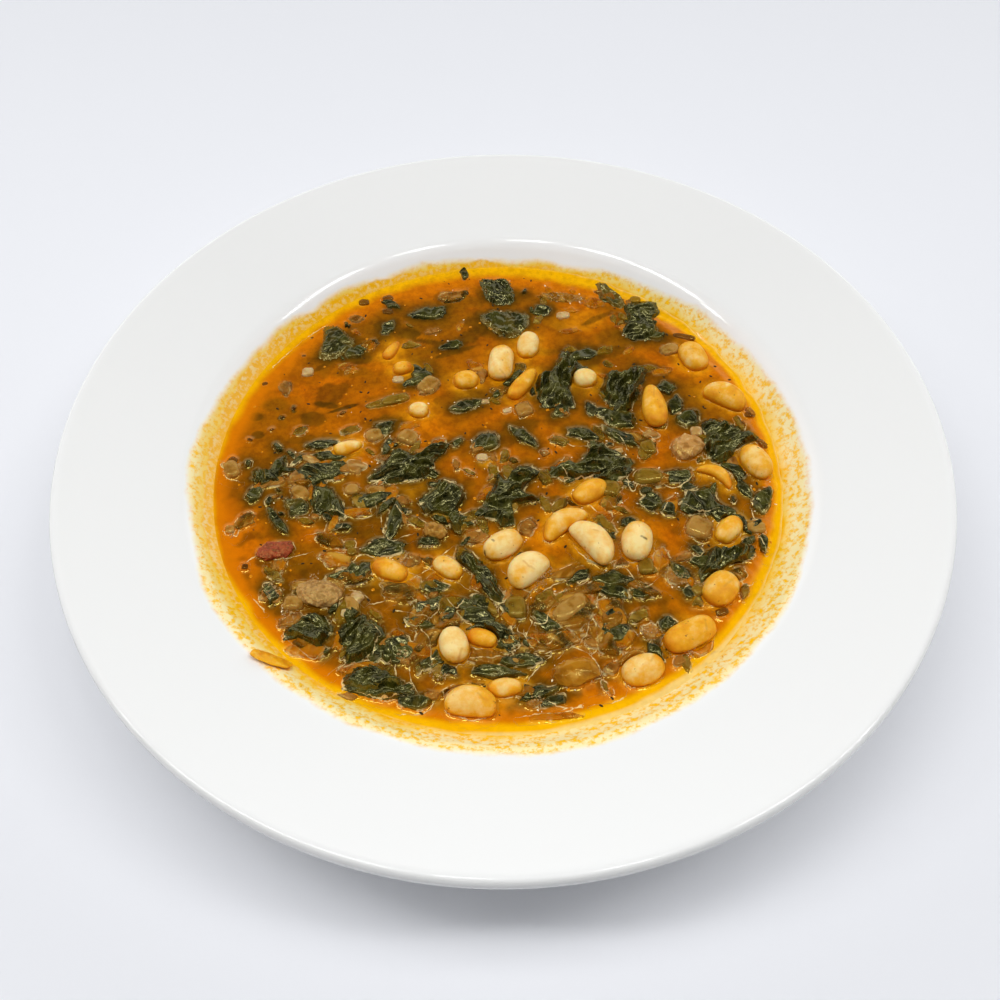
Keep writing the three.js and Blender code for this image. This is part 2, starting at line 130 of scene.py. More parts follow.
def linearColour(red, green, blue):
    # a screen colour, 0 to 255, as amounts of light
    parts = [part / 255 for part in (red, green, blue)]
    return tuple(p / 12.92 if p <= 0.04045 else ((p + 0.055) / 1.055) ** 2.4 for p in parts) + (1.0,)


def put(tree, kind, inputs=None, **settings):
    # adds a shader or geometry node, with its settings, values and incoming links
    node = tree.nodes.new(kind)
    for name, value in settings.items():
        setattr(node, name, value)
    for name, value in (inputs or {}).items():
        if isinstance(value, bpy.types.NodeSocket):
            tree.links.new(value, node.inputs[name])
        else:
            node.inputs[name].default_value = value
    return node


def maths(tree, operation, first, second=0.0, clamp=False):
    inputs = {0: first, 1: second}
    return put(tree, "ShaderNodeMath", inputs, operation=operation, use_clamp=clamp).outputs[0]


def times(tree, first, second):
    return maths(tree, "MULTIPLY", first, second)


def plus(tree, first, second):
    return maths(tree, "ADD", first, second)


def minus(tree, first, second):
    return maths(tree, "SUBTRACT", first, second)


def blendColours(tree, share, first, second):
    inputs = {0: share, 6: first, 7: second}
    return put(tree, "ShaderNodeMix", inputs, data_type="RGBA").outputs[2]


def rangeOf(tree, value, low, high):
    inputs = {"Value": value, "From Min": low, "From Max": high}
    return put(tree, "ShaderNodeMapRange", inputs, interpolation_type="SMOOTHSTEP").outputs[0]


def noiseOf(tree, coords, size, detail=3.0, roughness=0.5):
    # noise whose hills are about size millimetres across
    inputs = {"Vector": coords, "Scale": 1000 / size, "Detail": detail, "Roughness": roughness}
    return put(tree, "ShaderNodeTexNoise", inputs).outputs["Fac"]


def patchesOf(tree, coords, size, detail, low, high, roughness=0.5):
    # soft-edged patches where such noise is past low on the way to high
    return rangeOf(tree, noiseOf(tree, coords, size, detail, roughness), low, high)


def attributeOf(tree, name, output="Fac"):
    return put(tree, "ShaderNodeAttribute", attribute_name=name).outputs[output]


def newMaterial(name, finish):
    # a material with its shader's own values, and where a pattern on it starts from
    material = bpy.data.materials.new(name)
    material.use_nodes = True
    tree = material.node_tree
    shader = tree.nodes["Principled BSDF"]
    for socket, value in finish.items():
        shader.inputs[socket].default_value = value
    coords = put(tree, "ShaderNodeTexCoord").outputs["Object"]
    return material, tree, shader, coords


def bumpTo(tree, shader, height, distance, strength=1.0):
    # height is 0 to 1, distance is what 1 stands for, in millimetres
    inputs = {"Height": height, "Distance": distance * mm, "Strength": strength}
    tree.links.new(put(tree, "ShaderNodeBump", inputs).outputs[0], shader.inputs["Normal"])


def meshObject(name, points, faces, material):
    # points in millimetres
    mesh = bpy.data.meshes.new(name)
    mesh.from_pydata((np.asarray(points) * mm).tolist(), [], faces)
    mesh.update()
    mesh.shade_smooth()
    piece = bpy.data.objects.new(name, mesh)
    scene.collection.objects.link(piece)
    mesh.materials.append(material)
    return piece


def setAttribute(piece, name, values, kind="FLOAT"):
    attribute = piece.data.attributes.new(name, kind, "POINT")
    field = "color" if kind == "FLOAT_COLOR" else "value"
    attribute.data.foreach_set(field, np.asarray(values, np.float32).ravel())


def pointsOf(piece):
    flat = np.empty(len(piece.data.vertices) * 3)
    piece.data.vertices.foreach_get("co", flat)
    return flat.reshape(-1, 3) / mm


def gridOf(first, second):
    # every pair of two rows of values, as two flat arrays
    return (part.ravel() for part in np.meshgrid(first, second, indexing="ij"))


def onBody(piece, slot, *replaced):
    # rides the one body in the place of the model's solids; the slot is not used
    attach(piece, "root")
    if replaced:
        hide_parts(*replaced)
    return piece


def newTree(name, **inputs):
    # a tree of geometry nodes with named inputs, and what these give
    tree = bpy.data.node_groups.new(name, "GeometryNodeTree")
    for side in ("INPUT", "OUTPUT"):
        tree.interface.new_socket("Geometry", in_out=side, socket_type="NodeSocketGeometry")
    for socket, kind in inputs.items():
        tree.interface.new_socket(socket, in_out="INPUT", socket_type="NodeSocket" + kind)
    return tree, tree.nodes.new("NodeGroupInput").outputs


def endTree(tree, geometry, material):
    # ends such a tree with real meshes that carry the material
    real = put(tree, "GeometryNodeRealizeInstances", {"Geometry": geometry}).outputs[0]
    coated = put(tree, "GeometryNodeSetMaterial", {"Geometry": real, "Material": material}).outputs[0]
    tree.links.new(coated, tree.nodes.new("NodeGroupOutput").inputs[0])


# Camera, floor and lights

studio = {
    "floorSize": 9.0,
    "floorColour": (238, 239, 243),
    "floorDarker": 0.99,
    "floorPatch": 400,
    "floorFinish": {"Roughness": 0.7, "Specular IOR Level": 0.15},
    "lampHeight": 1.25,
    "lampDepth": 0.16,
    "lampCentreY": -0.06,
    "lampsAcross": ((-1.25, 0.35), (-0.72, 0.4), (-0.47, 0.1), (-0.3, 0.16), (-0.08, 0.09),
                    (0.22, 0.11), (0.6, 0.3), (1.0, 0.4)),
    "lampRadiance": 11.7,
    "softLamp": {"centre": (0, 0.14, 1.25), "width": 2.2, "depth": 0.26, "radiance": 3.1},
    # how light the room is behind and in front, at rising shares of the way up
    "skyRise": (0.06, 0.5, 0.64, 0.92, 0.98),
    "skyBehind": (0.95, 0.85, 0.1, 0.1, 1.0),
    "skyInFront": (0.02, 0.03, 0.16, 0.42, 1.0),
    "skyTint": (0.98, 1.0, 1.03),
    "skyChange": (-0.3, 0.1),
}


def makeCamera():
    data = bpy.data.cameras.new("photoCamera")
    data.sensor_width = picture["sensorWidth"]
    data.lens = picture["sensorWidth"] * picture["focalPixels"] / picture["framePixels"]
    data.clip_start, data.clip_end = picture["nearest"], picture["farthest"]
    camera = bpy.data.objects.new("photoCamera", data)
    scene.collection.objects.link(camera)
    place = Matrix.Translation(Vector(picture["eye"]) * mm)
    lean = Matrix.Rotation(math.radians(90 - picture["tiltDown"]), 4, "X")
    camera.matrix_world = place @ lean @ Matrix.Rotation(math.radians(picture["roll"]), 4, "Z")
    scene.camera = camera


def makeLamp(name, place, width, depth, radiance):
    lamp = bpy.data.lights.new(name, "AREA")
    lamp.shape = "RECTANGLE"
    lamp.size, lamp.size_y = width, depth
    lamp.energy = radiance * width * depth * math.pi
    holder = bpy.data.objects.new(name, lamp)
    holder.location = place
    scene.collection.objects.link(holder)
    return holder


def makeStudio():
    scene.view_settings.view_transform = "Standard"
    material, tree, shader, coords = newMaterial("paleFloor", studio["floorFinish"])
    shade = patchesOf(tree, coords, studio["floorPatch"], 1, 0.3, 0.7)
    colour = linearColour(*studio["floorColour"])
    darker = tuple(studio["floorDarker"] * part for part in colour[:3]) + (1.0,)
    tree.links.new(blendColours(tree, shade, darker, colour), shader.inputs["Base Color"])
    half = studio["floorSize"] / mm / 2
    corners = [(-half, -half, 0), (half, -half, 0), (half, half, 0), (-half, half, 0)]
    floor = meshObject("floor", corners, [(0, 1, 2, 3)], material)
    for i, (x, width) in enumerate(studio["lampsAcross"]):
        place = (x, studio["lampCentreY"], studio["lampHeight"])
        makeLamp(f"lamp{i}", place, width, studio["lampDepth"], studio["lampRadiance"])
    soft = studio["softLamp"]
    holder = makeLamp("softLamp", soft["centre"], soft["width"], soft["depth"], soft["radiance"])
    holder.visible_glossy = False
    world = bpy.data.worlds.new("softRoom")
    world.use_nodes = True
    scene.world = world
    tree = world.node_tree
    direction = put(tree, "ShaderNodeTexCoord").outputs["Generated"]
    way = put(tree, "ShaderNodeSeparateXYZ", {0: direction}).outputs

    def sky(side):
        ramp = put(tree, "ShaderNodeValToRGB", {"Fac": way["Z"]})
        stops = ramp.color_ramp.elements
        stops[0].position, stops[1].position = studio["skyRise"][0], studio["skyRise"][-1]
        for rise in studio["skyRise"][1:-1]:
            stops.new(rise)
        for stop, light in zip(stops, studio[side]):
            stop.color = [light * part for part in studio["skyTint"]] + [1]
        return ramp.outputs["Color"]

    behind = rangeOf(tree, way["Y"], *studio["skyChange"])
    light = blendColours(tree, behind, sky("skyInFront"), sky("skyBehind"))
    tree.links.new(light, tree.nodes["Background"].inputs["Color"])


makeCamera()
makeStudio()
print("camera, floor and lights made")


# The plate: its outline turned by Geometry Nodes, with a glaze that the soup has stained

def bent(start, bend, end, steps):
    # points on the curve from start to end that leans towards the bend
    share = np.linspace(0, 1, steps + 1)[:, None]
    start, bend, end = np.array([start, bend, end], float)
    return (1 - share) ** 2 * start + 2 * share * (1 - share) * bend + share ** 2 * end


def wellLine(steps):
    # the top of the well, from its flat floor up to the rim
    p = plate
    wall = bent(p["wellFloor"], p["wallBend"], p["wallTop"], 2 * steps)
    fillet = bent(p["wallTop"], p["filletBend"], p["rimInner"], steps)
    return np.vstack([wall, fillet[1:]])


def plateOutline():
    # from the middle of the underside round the rim to the middle of the well's floor
    p = plate
    steps = p["bendSteps"]
    middle = np.linspace(0, p["footInner"][0] - p["footSlope"], p["flatSteps"])
    under = [(radius, p["baseRise"]) for radius in middle]
    under += [p["footInner"], p["footOuter"], (p["footOuter"][0] + p["footSlope"], p["baseRise"])]
    underWall = bent(p["underWallLow"], p["underWallBend"], p["underRimInner"], steps)
    underLip = bent(p["underRimOuter"], p["lipUnderBend"], p["lipSide"], steps)
    lip = bent(p["lipSide"], p["lipTopBend"], p["rimOuter"], steps)
    rim = bent(p["rimOuter"], p["rimBend"], p["rimInner"], steps)
    inward = np.linspace(p["wellFloor"][0], 0, p["flatSteps"])[1:]
    floorLine = [(radius, p["wellFloor"][1]) for radius in inward]
    well = wellLine(steps)[::-1]
    return np.vstack([under, underWall, underLip, lip[1:], rim[1:], well[1:], floorLine])


turningRadius = 1000  # of the circle that carries the outline, whose points are measured from it


def turnedTree(material):
    # carries the outline round a circle, in as many steps as Turns says
    tree, inputs = newTree("turnOutline", Turns="Int")
    line = put(tree, "GeometryNodeMeshToCurve", {"Mesh": inputs["Geometry"]})
    circle = put(tree, "GeometryNodeCurvePrimitiveCircle", {"Resolution": inputs["Turns"]})
    circle.inputs["Radius"].default_value = turningRadius * mm
    lines = {"Curve": circle.outputs["Curve"], "Profile Curve": line.outputs["Curve"]}
    endTree(tree, put(tree, "GeometryNodeCurveToMesh", lines).outputs["Mesh"], material)
    return tree


def appliedNodes(name, holder, tree, values):
    # runs a node tree on a mesh and gives back the plain mesh that it makes
    modifier = holder.modifiers.new("nodes", "NODES")
    modifier.node_group = tree
    for item in tree.interface.items_tree:
        if item.in_out == "INPUT" and item.name in values:
            modifier[item.identifier] = values[item.name]
    holder.update_tag()
    evaluated = holder.evaluated_get(bpy.context.evaluated_depsgraph_get())
    mesh = bpy.data.meshes.new_from_object(evaluated)
    mesh.name = name
    piece = bpy.data.objects.new(name, mesh)
    scene.collection.objects.link(piece)
    bpy.data.objects.remove(holder)
    return piece


stain = {
    "liquidEdge": 95.2,
    "liquidSway": 2.8,
    "liquidToward": 165,
    "stainEdge": 100.4,
    "stainSway": 3.1,
    "stainToward": 258,
    "glaze": (243, 243, 241),
    "wellPaintedLight": (254, 254, 252),
    "near": (255, 206, 6),
    "pale": (255, 238, 176),
    "mottle": (255, 196, 10),
    "speck": (206, 132, 20),
    "wet": (252, 186, 8),
    "liquidBreaks": (14, 6),  # how long and how deep the bays of an edge are
    "stainBreaks": (18, 5),
    "bareShare": 0.7,
    "ripple": 38,
    "rippleDepth": 0.12,
    "finish": {"Roughness": 0.09, "IOR": 1.5},
}


def glazeMaterial():
    # white china, stained outside the liquid's edge and wet inside it, and painted whiter inside the well as
    # painted light; both edges sway with the direction
    material, tree, shader, coords = newMaterial("stainedGlaze", stain["finish"])
    place = put(tree, "ShaderNodeSeparateXYZ", {0: coords}).outputs
    flat = put(tree, "ShaderNodeCombineXYZ", {"X": place["X"], "Y": place["Y"]}).outputs[0]
    reach = put(tree, "ShaderNodeVectorMath", {0: flat}, operation="LENGTH").outputs["Value"]
    radius = times(tree, reach, 1 / mm)
    unit = put(tree, "ShaderNodeVectorMath", {0: flat}, operation="NORMALIZE").outputs[0]

    def edge(name):
        turn = math.radians(stain[name + "Toward"])
        along = (math.cos(turn), math.sin(turn), 0)
        dot = put(tree, "ShaderNodeVectorMath", {0: unit, 1: along}, operation="DOT_PRODUCT").outputs["Value"]
        mean = plus(tree, times(tree, dot, stain[name + "Sway"]), stain[name + "Edge"])
        size, depth = stain[name + "Breaks"]
        return plus(tree, mean, times(tree, minus(tree, noiseOf(tree, coords, size, 4), 0.5), depth))

    liquidEdge, stainEdge = edge("liquid"), edge("stain")
    wet = rangeOf(tree, minus(tree, liquidEdge, radius), -0.35, 0.5)
    stained = rangeOf(tree, minus(tree, stainEdge, radius), -1.0, 1.3)
    outward = rangeOf(tree, minus(tree, radius, liquidEdge), -1.5, 4.0)
    mottles = patchesOf(tree, coords, 2.0, 5, 0.45, 0.62, 0.66)
    grain = noiseOf(tree, coords, 1.7, 3, 0.6)
    specks = times(tree, rangeOf(tree, grain, 0.66, 0.74), mottles)
    bare = times(tree, rangeOf(tree, grain, 0.56, 0.38), rangeOf(tree, radius, 93, 99))
    # painted light: the well's wall is coloured whiter than the rest of the glaze
    wellLightShare = rangeOf(tree, radius, 104, 100)
    upper = attributeOf(tree, "upper")
    names = ("glaze", "wellPaintedLight", "near", "pale", "mottle", "speck", "wet")
    colours = {name: linearColour(*stain[name]) for name in names}
    soiled = blendColours(tree, outward, colours["near"], colours["pale"])
    soiled = blendColours(tree, mottles, soiled, colours["mottle"])
    soiled = blendColours(tree, specks, soiled, colours["speck"])
    stippled = blendColours(tree, times(tree, bare, stain["bareShare"]), colours["wet"], colours["pale"])
    colour = blendColours(tree, wellLightShare, colours["glaze"], colours["wellPaintedLight"])
    colour = blendColours(tree, times(tree, stained, upper), colour, soiled)
    colour = blendColours(tree, times(tree, wet, upper), colour, stippled)
    tree.links.new(colour, shader.inputs["Base Color"])
    bumpTo(tree, shader, noiseOf(tree, coords, stain["ripple"], 1), stain["rippleDepth"])
    return material


def makePlate():
    outline = plateOutline()
    profile = [(radius - turningRadius, -height, 0) for radius, height in outline]
    holder = meshObject("plateOutline", profile, [], glazeMaterial())
    holder.data.edges.add(len(outline) - 1)
    for i, line in enumerate(holder.data.edges):
        line.vertices = (i, i + 1)
    tree = turnedTree(holder.data.materials[0])
    piece = appliedNodes("stainedPlate", holder, tree, {"Turns": plate["turns"]})
    shell = bmesh.new()
    shell.from_mesh(piece.data)
    bmesh.ops.remove_doubles(shell, verts=shell.verts, dist=0.02 * mm)
    bmesh.ops.recalc_face_normals(shell, faces=shell.faces)
    shell.to_mesh(piece.data)
    shell.free()
    piece.data.shade_smooth()
    piece.data.set_sharp_from_angle(angle=math.radians(plate["sharpFrom"]))
    upper = [1.0 if point.normal.z > 0.02 else 0.0 for point in piece.data.vertices]
    setAttribute(piece, "upper", upper)
    onBody(piece, "china", "plate")
    print("plate made", len(piece.data.polygons))


makePlate()


# What is shared by all food: smooth copies of the model's solids, thin sheets, and scraps

def principalFrame(points):
    # the middle and the turned axes of points seen from above, and the box that they fill on them
    flat = points[:, :2] - points[:, :2].mean(0)
    along = np.linalg.eigh(flat.T @ flat)[1][:, 1]
    turn = np.array([[along[0], -along[1], 0], [along[1], along[0], 0], [0, 0, 1]])
    local = points @ turn
    low, high = local.min(0), local.max(0)
    return turn @ ((low + high) / 2), turn, (high - low) / 2


def smoothedNode(name, levels, crease=0.0):
    # a node's solid with its facets smoothed away, still filling the same box
    shell = bmesh.new()
    shell.from_mesh(nodes[name].data)
    bmesh.ops.remove_doubles(shell, verts=shell.verts, dist=0.01 * mm)
    wide = math.radians(60)
    bmesh.ops.join_triangles(
        shell, faces=shell.faces, angle_face_threshold=wide, angle_shape_threshold=wide)
    layer = shell.edges.layers.float.new("crease_edge")
    for line in shell.edges:
        line[layer] = crease
    mesh = bpy.data.meshes.new("smoothing")
    shell.to_mesh(mesh)
    shell.free()
    holder = bpy.data.objects.new("smoothing", mesh)
    scene.collection.objects.link(holder)
    rough = pointsOf(holder)
    middle, turn, half = principalFrame(rough)
    modifier = holder.modifiers.new("smooth", "SUBSURF")
    modifier.levels = modifier.render_levels = levels
    evaluated = holder.evaluated_get(bpy.context.evaluated_depsgraph_get())
    smooth = bpy.data.meshes.new_from_object(evaluated)
    bpy.data.objects.remove(holder)
    points = np.empty(len(smooth.vertices) * 3)
    smooth.vertices.foreach_get("co", points)
    faces = [list(face.vertices) for face in smooth.polygons]
    local = (points.reshape(-1, 3) / mm - middle) @ turn
    local *= half / np.abs(local).max(0)
    return local @ turn.T + middle, faces, (middle, turn, half)


def discGrid(cells):
    # a square grid laid over a round disc: how far out and in which direction each point is
    line = np.linspace(-1, 1, cells + 1)
    a, b = gridOf(line, line)
    reach = np.maximum(np.abs(a), np.abs(b))
    safe = np.where(reach == 0, 1, reach)
    sideways = np.abs(a) >= np.abs(b)
    turn = np.where(sideways, math.pi / 4 * b / safe * np.sign(a), math.pi / 2 * np.sign(b)
                    - math.pi / 4 * a / safe * np.sign(b))
    turn = np.where(sideways & (a < 0), turn + math.pi, turn)
    stride = cells + 1
    i, j = gridOf(np.arange(cells), np.arange(cells))
    first = i * stride + j
    quads = np.stack([first, first + stride, first + stride + 1, first + 1], 1)
    side = np.arange(cells)
    loop = np.concatenate([side * stride, cells * stride + side,
                           (cells - side) * stride + cells, cells - side])
    return reach, turn, quads, loop


def closedCurve(corners, share):
    # points on the smooth closed line through the corners, at shares of the way round
    count = len(corners)
    place = (share % 1) * count
    first = np.floor(place).astype(int) % count
    f = (place - np.floor(place))[:, None]
    a, b, c, d = (corners[(first + step) % count] for step in (-1, 0, 1, 2))
    return b + 0.5 * f * (c - a + f * (2 * a - 5 * b + 4 * c - d + f * (3 * (b - c) + d - a)))


def raggedOutline(middle, length, width, heading, seed, corners=9):
    # the corners of a torn scrap that lies with its length along the heading
    draw = np.random.default_rng(seed)
    turn = 2 * math.pi * (np.arange(corners) + draw.uniform(-0.3, 0.3, corners)) / corners
    reach = draw.uniform(0.72, 1.12, corners)
    x = reach * np.cos(turn) * length / 2
    y = reach * np.sin(turn) * width / 2
    angle = math.radians(heading)
    return np.stack([middle[0] + x * math.cos(angle) - y * math.sin(angle),
                     middle[1] + x * math.sin(angle) + y * math.cos(angle)], 1)


beanFootprints = []  # middle, axes and half sizes of each bean, which the leaves pass under


def clearOfBeans(points, deep):
    # pushes what would lie on a bean down to a depth under it
    for middle, turn, half in beanFootprints:
        local = (points - middle) @ turn / (half + 0.2)
        near = (local[:, 0] ** 2 + local[:, 1] ** 2)
        sink = 1 - soften(near, 0.8, 1.35)
        points[:, 2] += sink * (deep - points[:, 2])
    return points


def sheet(outline, low, high, seed, cells, grain=None, foldSize=2.8, crumpleSize=2.0,
          folds=0.75, crumples=0.3, thickness=0.35, drop=0.12, curl=0.0):
    # a thin wrinkled sheet inside an outline: its points, faces and, for each point, how far out
    # it is and where it is across and along the folds
    corners = np.asarray(outline, float)
    nextOnes = np.roll(corners, -1, 0)
    if (corners[:, 0] * nextOnes[:, 1] - nextOnes[:, 0] * corners[:, 1]).sum() < 0:
        corners = corners[::-1]
    reach, turn, quads, loop = discGrid(cells)
    edge = closedCurve(corners, turn / (2 * math.pi))
    middle = corners.mean(0)
    tears = 0.05 * hills(turn * 5, reach * 0 + 3.3, seed) + 0.05 * hills(turn * 11, reach * 0, seed)
    flat = middle + (reach * (1.06 + tears))[:, None] * (edge - middle)
    x, y = flat[:, 0], flat[:, 1]
    heading = seed * 2.399 if grain is None else math.radians(grain)
    along = x * math.cos(heading) + y * math.sin(heading)
    across = y * math.cos(heading) - x * math.sin(heading)
    warp = 0.6 * hills(x / 5, y / 5, seed + 5)
    acrossBent = across / foldSize + warp
    fold = hills(acrossBent, along / (4 * foldSize), seed + 1)
    fold = np.sign(fold) * np.abs(fold) ** 0.8
    crumple = hills(x / crumpleSize + warp, y / crumpleSize - warp, seed + 2)
    crumple = 0.8 * np.abs(hills(acrossBent * 2.1, along / (2 * foldSize), seed + 4)) + 0.5 * crumple
    swell = hills(x / 7, y / 7, seed + 3)
    share = np.clip(0.45 + folds * fold + crumples * crumple + 0.2 * swell, 0, 1.3)
    z = low + (high - low) * share
    lowEdge = soften(reach, 0.72, 1) * np.clip(0.85 + 0.5 * hills(turn * 1.6, reach, seed + 9), 0, 1)
    z += lowEdge * (brothLevel - drop - z)
    z += curl * soften(reach, 0.75, 1) * np.clip(hills(turn * 1.3, reach * 0, seed + 7), 0, 1)
    top = clearOfBeans(np.stack([x, y, z], 1), brothLevel - 1)
    under = top - np.array([0, 0, thickness])
    count = len(top)
    after = np.roll(loop, -1)
    sides = np.stack([loop + count, after + count, after, loop], 1)
    faces = np.vstack([quads, quads[:, ::-1] + count, sides])
    own = np.stack([reach, across, along], 1)
    return np.vstack([top, under]), faces, np.vstack([own, own])


def joined(parts):
    # several sets of points, faces and values as one
    points, faces, values, count = [], [], [], 0
    for partPoints, partFaces, partValues in parts:
        points.append(partPoints)
        faces.append(np.asarray(partFaces) + count)
        values.append(partValues)
        count += len(partPoints)
    return np.vstack(points), np.vstack(faces), np.concatenate(values)


def sheetObject(name, points, faces, own, material):
    # a sheet's mesh, which keeps where each point is across and along its folds
    piece = meshObject(name, points, faces.tolist(), material)
    piece.data.attributes.new("creases", "FLOAT_VECTOR", "POINT")
    lines = np.stack([own[:, 1], own[:, 2] / 4, 0 * own[:, 0]], 1).astype(np.float32)
    piece.data.attributes["creases"].data.foreach_set("vector", lines.ravel())
    return piece


def creasesOf(tree, size):
    # long fine creases along the folds of a sheet
    lines = attributeOf(tree, "creases", "Vector")
    inputs = {"Vector": lines, "Scale": 1 / size, "Detail": 2.0, "Roughness": 0.5}
    fine = put(tree, "ShaderNodeTexNoise", inputs).outputs["Fac"]
    return maths(tree, "ABSOLUTE", minus(tree, fine, 0.5))


food = []  # every piece that the broth meets


def served(piece, slot, *replaced):
    food.append(onBody(piece, slot, *replaced))


# Bright lines on the broth and on the skins in it, partly oil and partly a painted highlight, with a small
# ridge in the bump: how they are seen to run

paintedHighlightLines = {
    "width": 0.26,
    "thinnest": 0.05,
    "wiggle": 1.0,
    "ridge": 0.12,
    "strength": 0.9,
    # the pale colour of the lines, a painted highlight
    "colour": (248, 220, 156),
    "far": 3.0,  # past this it doesn't matter how far a line is
    "step": 0.3,
    "seenHeight": 0.5,
    "lines": [
        [(504, 572), (510, 578), (514, 584), (522, 589), (530, 592), (534, 588), (541, 584)],
        [(534, 590), (540, 593), (546, 589), (557, 583), (567, 581), (574, 578)],
        [(437, 569), (441, 574), (452, 580), (460, 583), (467, 588), (474, 589), (486, 596), (500, 603),
         (506, 599)],
        [(436, 559), (447, 550)],
        [(448, 600), (451, 604), (457, 607), (463, 601)],
        [(457, 611), (459, 618), (467, 622), (471, 624)],
        [(464, 637), (470, 647), (479, 650), (492, 648), (499, 652), (510, 652), (519, 646), (519, 636)],
        [(440, 647), (446, 652), (451, 658)],
        [(470, 658), (492, 658), (506, 656)],
        [(528, 607), (528, 613), (533, 621), (546, 623), (548, 613), (551, 609)],
        [(527, 616), (521, 621), (517, 629), (524, 634), (527, 640), (534, 649), (543, 653), (552, 651),
         (569, 646)],
        [(532, 623), (527, 632), (527, 636)],
        [(531, 638), (537, 640), (541, 644), (550, 643), (556, 636), (561, 632)],
        [(569, 646), (578, 640), (586, 636), (589, 623)],
        [(558, 658), (570, 647), (583, 650), (594, 658), (602, 671)],
        [(597, 637), (598, 647), (593, 653)],
        [(529, 678), (538, 667), (551, 655)],
        [(549, 702), (564, 707), (582, 707)],
        [(524, 716), (540, 713), (560, 713), (582, 704)],
        [(624, 676), (627, 693), (613, 702), (596, 704)],
        [(642, 430), (653, 438), (660, 440), (655, 430), (647, 427)],
        [(617, 435), (623, 440), (627, 448)],
        [(563, 440), (573, 445), (587, 445)],
        [(562, 472), (570, 478), (583, 478), (592, 476)],
        [(608, 483), (618, 482), (630, 482)],
        [(627, 477), (630, 488), (635, 490), (637, 482)],
        [(662, 483), (673, 487), (685, 483), (693, 475)],
        [(575, 495), (590, 505), (597, 510)],
        [(610, 503), (615, 507), (625, 500)],
        [(642, 505), (652, 511), (662, 512), (667, 503)],
        [(682, 503), (692, 510), (702, 512), (710, 511)],
        [(688, 522), (690, 533), (698, 542), (703, 543)],
        [(705, 513), (713, 527)],
        [(752, 510), (755, 518), (763, 518)],
        [(720, 543), (732, 538), (742, 528)],
        [(757, 533), (763, 543), (767, 553), (770, 552)],
        [(575, 547), (583, 555), (595, 562), (607, 563), (615, 560)],
        [(620, 550), (623, 558), (632, 562), (643, 558)],
        [(655, 547), (653, 560)],
        [(613, 565), (627, 568), (635, 580), (645, 587), (653, 582)],
        [(668, 568), (668, 580), (680, 590), (687, 585)],
        [(690, 550), (698, 557), (703, 553)],
        [(725, 572), (737, 575), (745, 583)],
        [(748, 585), (755, 580)],
        [(289, 641), (300, 650), (313, 659), (320, 654), (327, 649)],
        [(327, 674), (337, 667), (344, 661), (343, 657)],
        [(340, 669), (353, 664), (366, 660), (377, 664)],
        [(374, 626), (381, 634), (377, 641), (373, 654)],
        [(419, 626), (424, 633), (430, 641), (431, 659), (436, 657)],
        [(407, 621), (414, 626), (420, 626)],
        [(373, 603), (381, 601), (394, 598)],
        [(396, 610), (406, 611), (416, 615), (430, 617), (437, 613), (439, 606)],
        [(413, 599), (420, 604), (430, 608), (436, 604)],
        [(406, 569), (414, 574), (424, 571), (431, 566), (437, 560)],
        [(363, 694), (373, 697), (387, 698), (397, 696)],
        [(409, 666), (410, 677), (416, 689)],
        [(403, 714), (416, 714), (427, 711), (433, 703)],
        [(443, 691), (446, 701), (454, 711), (470, 720), (490, 716)],
        [(254, 599), (263, 609)],
        [(353, 590), (359, 591), (367, 597)],
        [(373, 483), (383, 479), (386, 483), (401, 483), (419, 479)],
        [(330, 511), (343, 514), (353, 518), (367, 517), (376, 511), (376, 506)],
        [(314, 533), (324, 531), (326, 524)],
        [(330, 530), (340, 529), (343, 524)],
        [(289, 487), (306, 489)],
        [(397, 507), (403, 514), (410, 511)],
        [(381, 516), (383, 530), (391, 541), (401, 536), (409, 534)],
        [(294, 453), (303, 450)],
        [(245, 562), (256, 556), (270, 559), (277, 560), (294, 556), (305, 553)],
        [(223, 466), (227, 477), (237, 480)],
        [(229, 530), (236, 536), (239, 530)],
        [(349, 564), (361, 554), (374, 557)],
        [(325, 325), (305, 338), (288, 352), (273, 366)],
        [(683, 638), (692, 650), (703, 655), (713, 652)],
    ],
}


def treeOf(spots):
    # finds the nearest of many spots on the level
    tree = KDTree(len(spots))
    for i, (x, y) in enumerate(spots.tolist()):
        tree.insert((x, y, 0), i)
    tree.balance()
    return tree


def highlightLineSpots():
    # places along the lines, and which way each line runs there
    places, headings = [], []
    for seen in paintedHighlightLines["lines"]:
        corners = seenPoints(seen, brothLevel + paintedHighlightLines["seenHeight"])[:, :2]
        first, last = 2 * corners[0] - corners[1], 2 * corners[-1] - corners[-2]
        ends = np.vstack([first, corners, last])
        length = np.linalg.norm(np.diff(corners, axis=0), axis=1).sum()
        share = np.linspace(1, len(corners) - 1e-6, max(int(length / paintedHighlightLines["step"]), 4)) / len(ends)
        line = closedCurve(ends, share)
        ahead = np.gradient(line, axis=0)
        places.append(line)
        headings.append(ahead / np.linalg.norm(ahead, axis=1)[:, None])
    return np.vstack(places), np.vstack(headings)


def setHighlightLineDistance(piece):
    # how far each point is from the nearest line, less than nothing on its right
    points = pointsOf(piece)
    away = np.full(len(points), paintedHighlightLines["far"])
    for i, (x, y) in enumerate(points[:, :2].tolist()):
        nearest, spot, distance = highlightLineTree.find((x, y, 0))
        if distance < paintedHighlightLines["far"]:
            ahead = highlightLineHeadings[spot]
            side = ahead[0] * (y - nearest.y) - ahead[1] * (x - nearest.x)
            away[i] = math.copysign(distance, side)
    setAttribute(piece, "paintedHighlightLines", away)


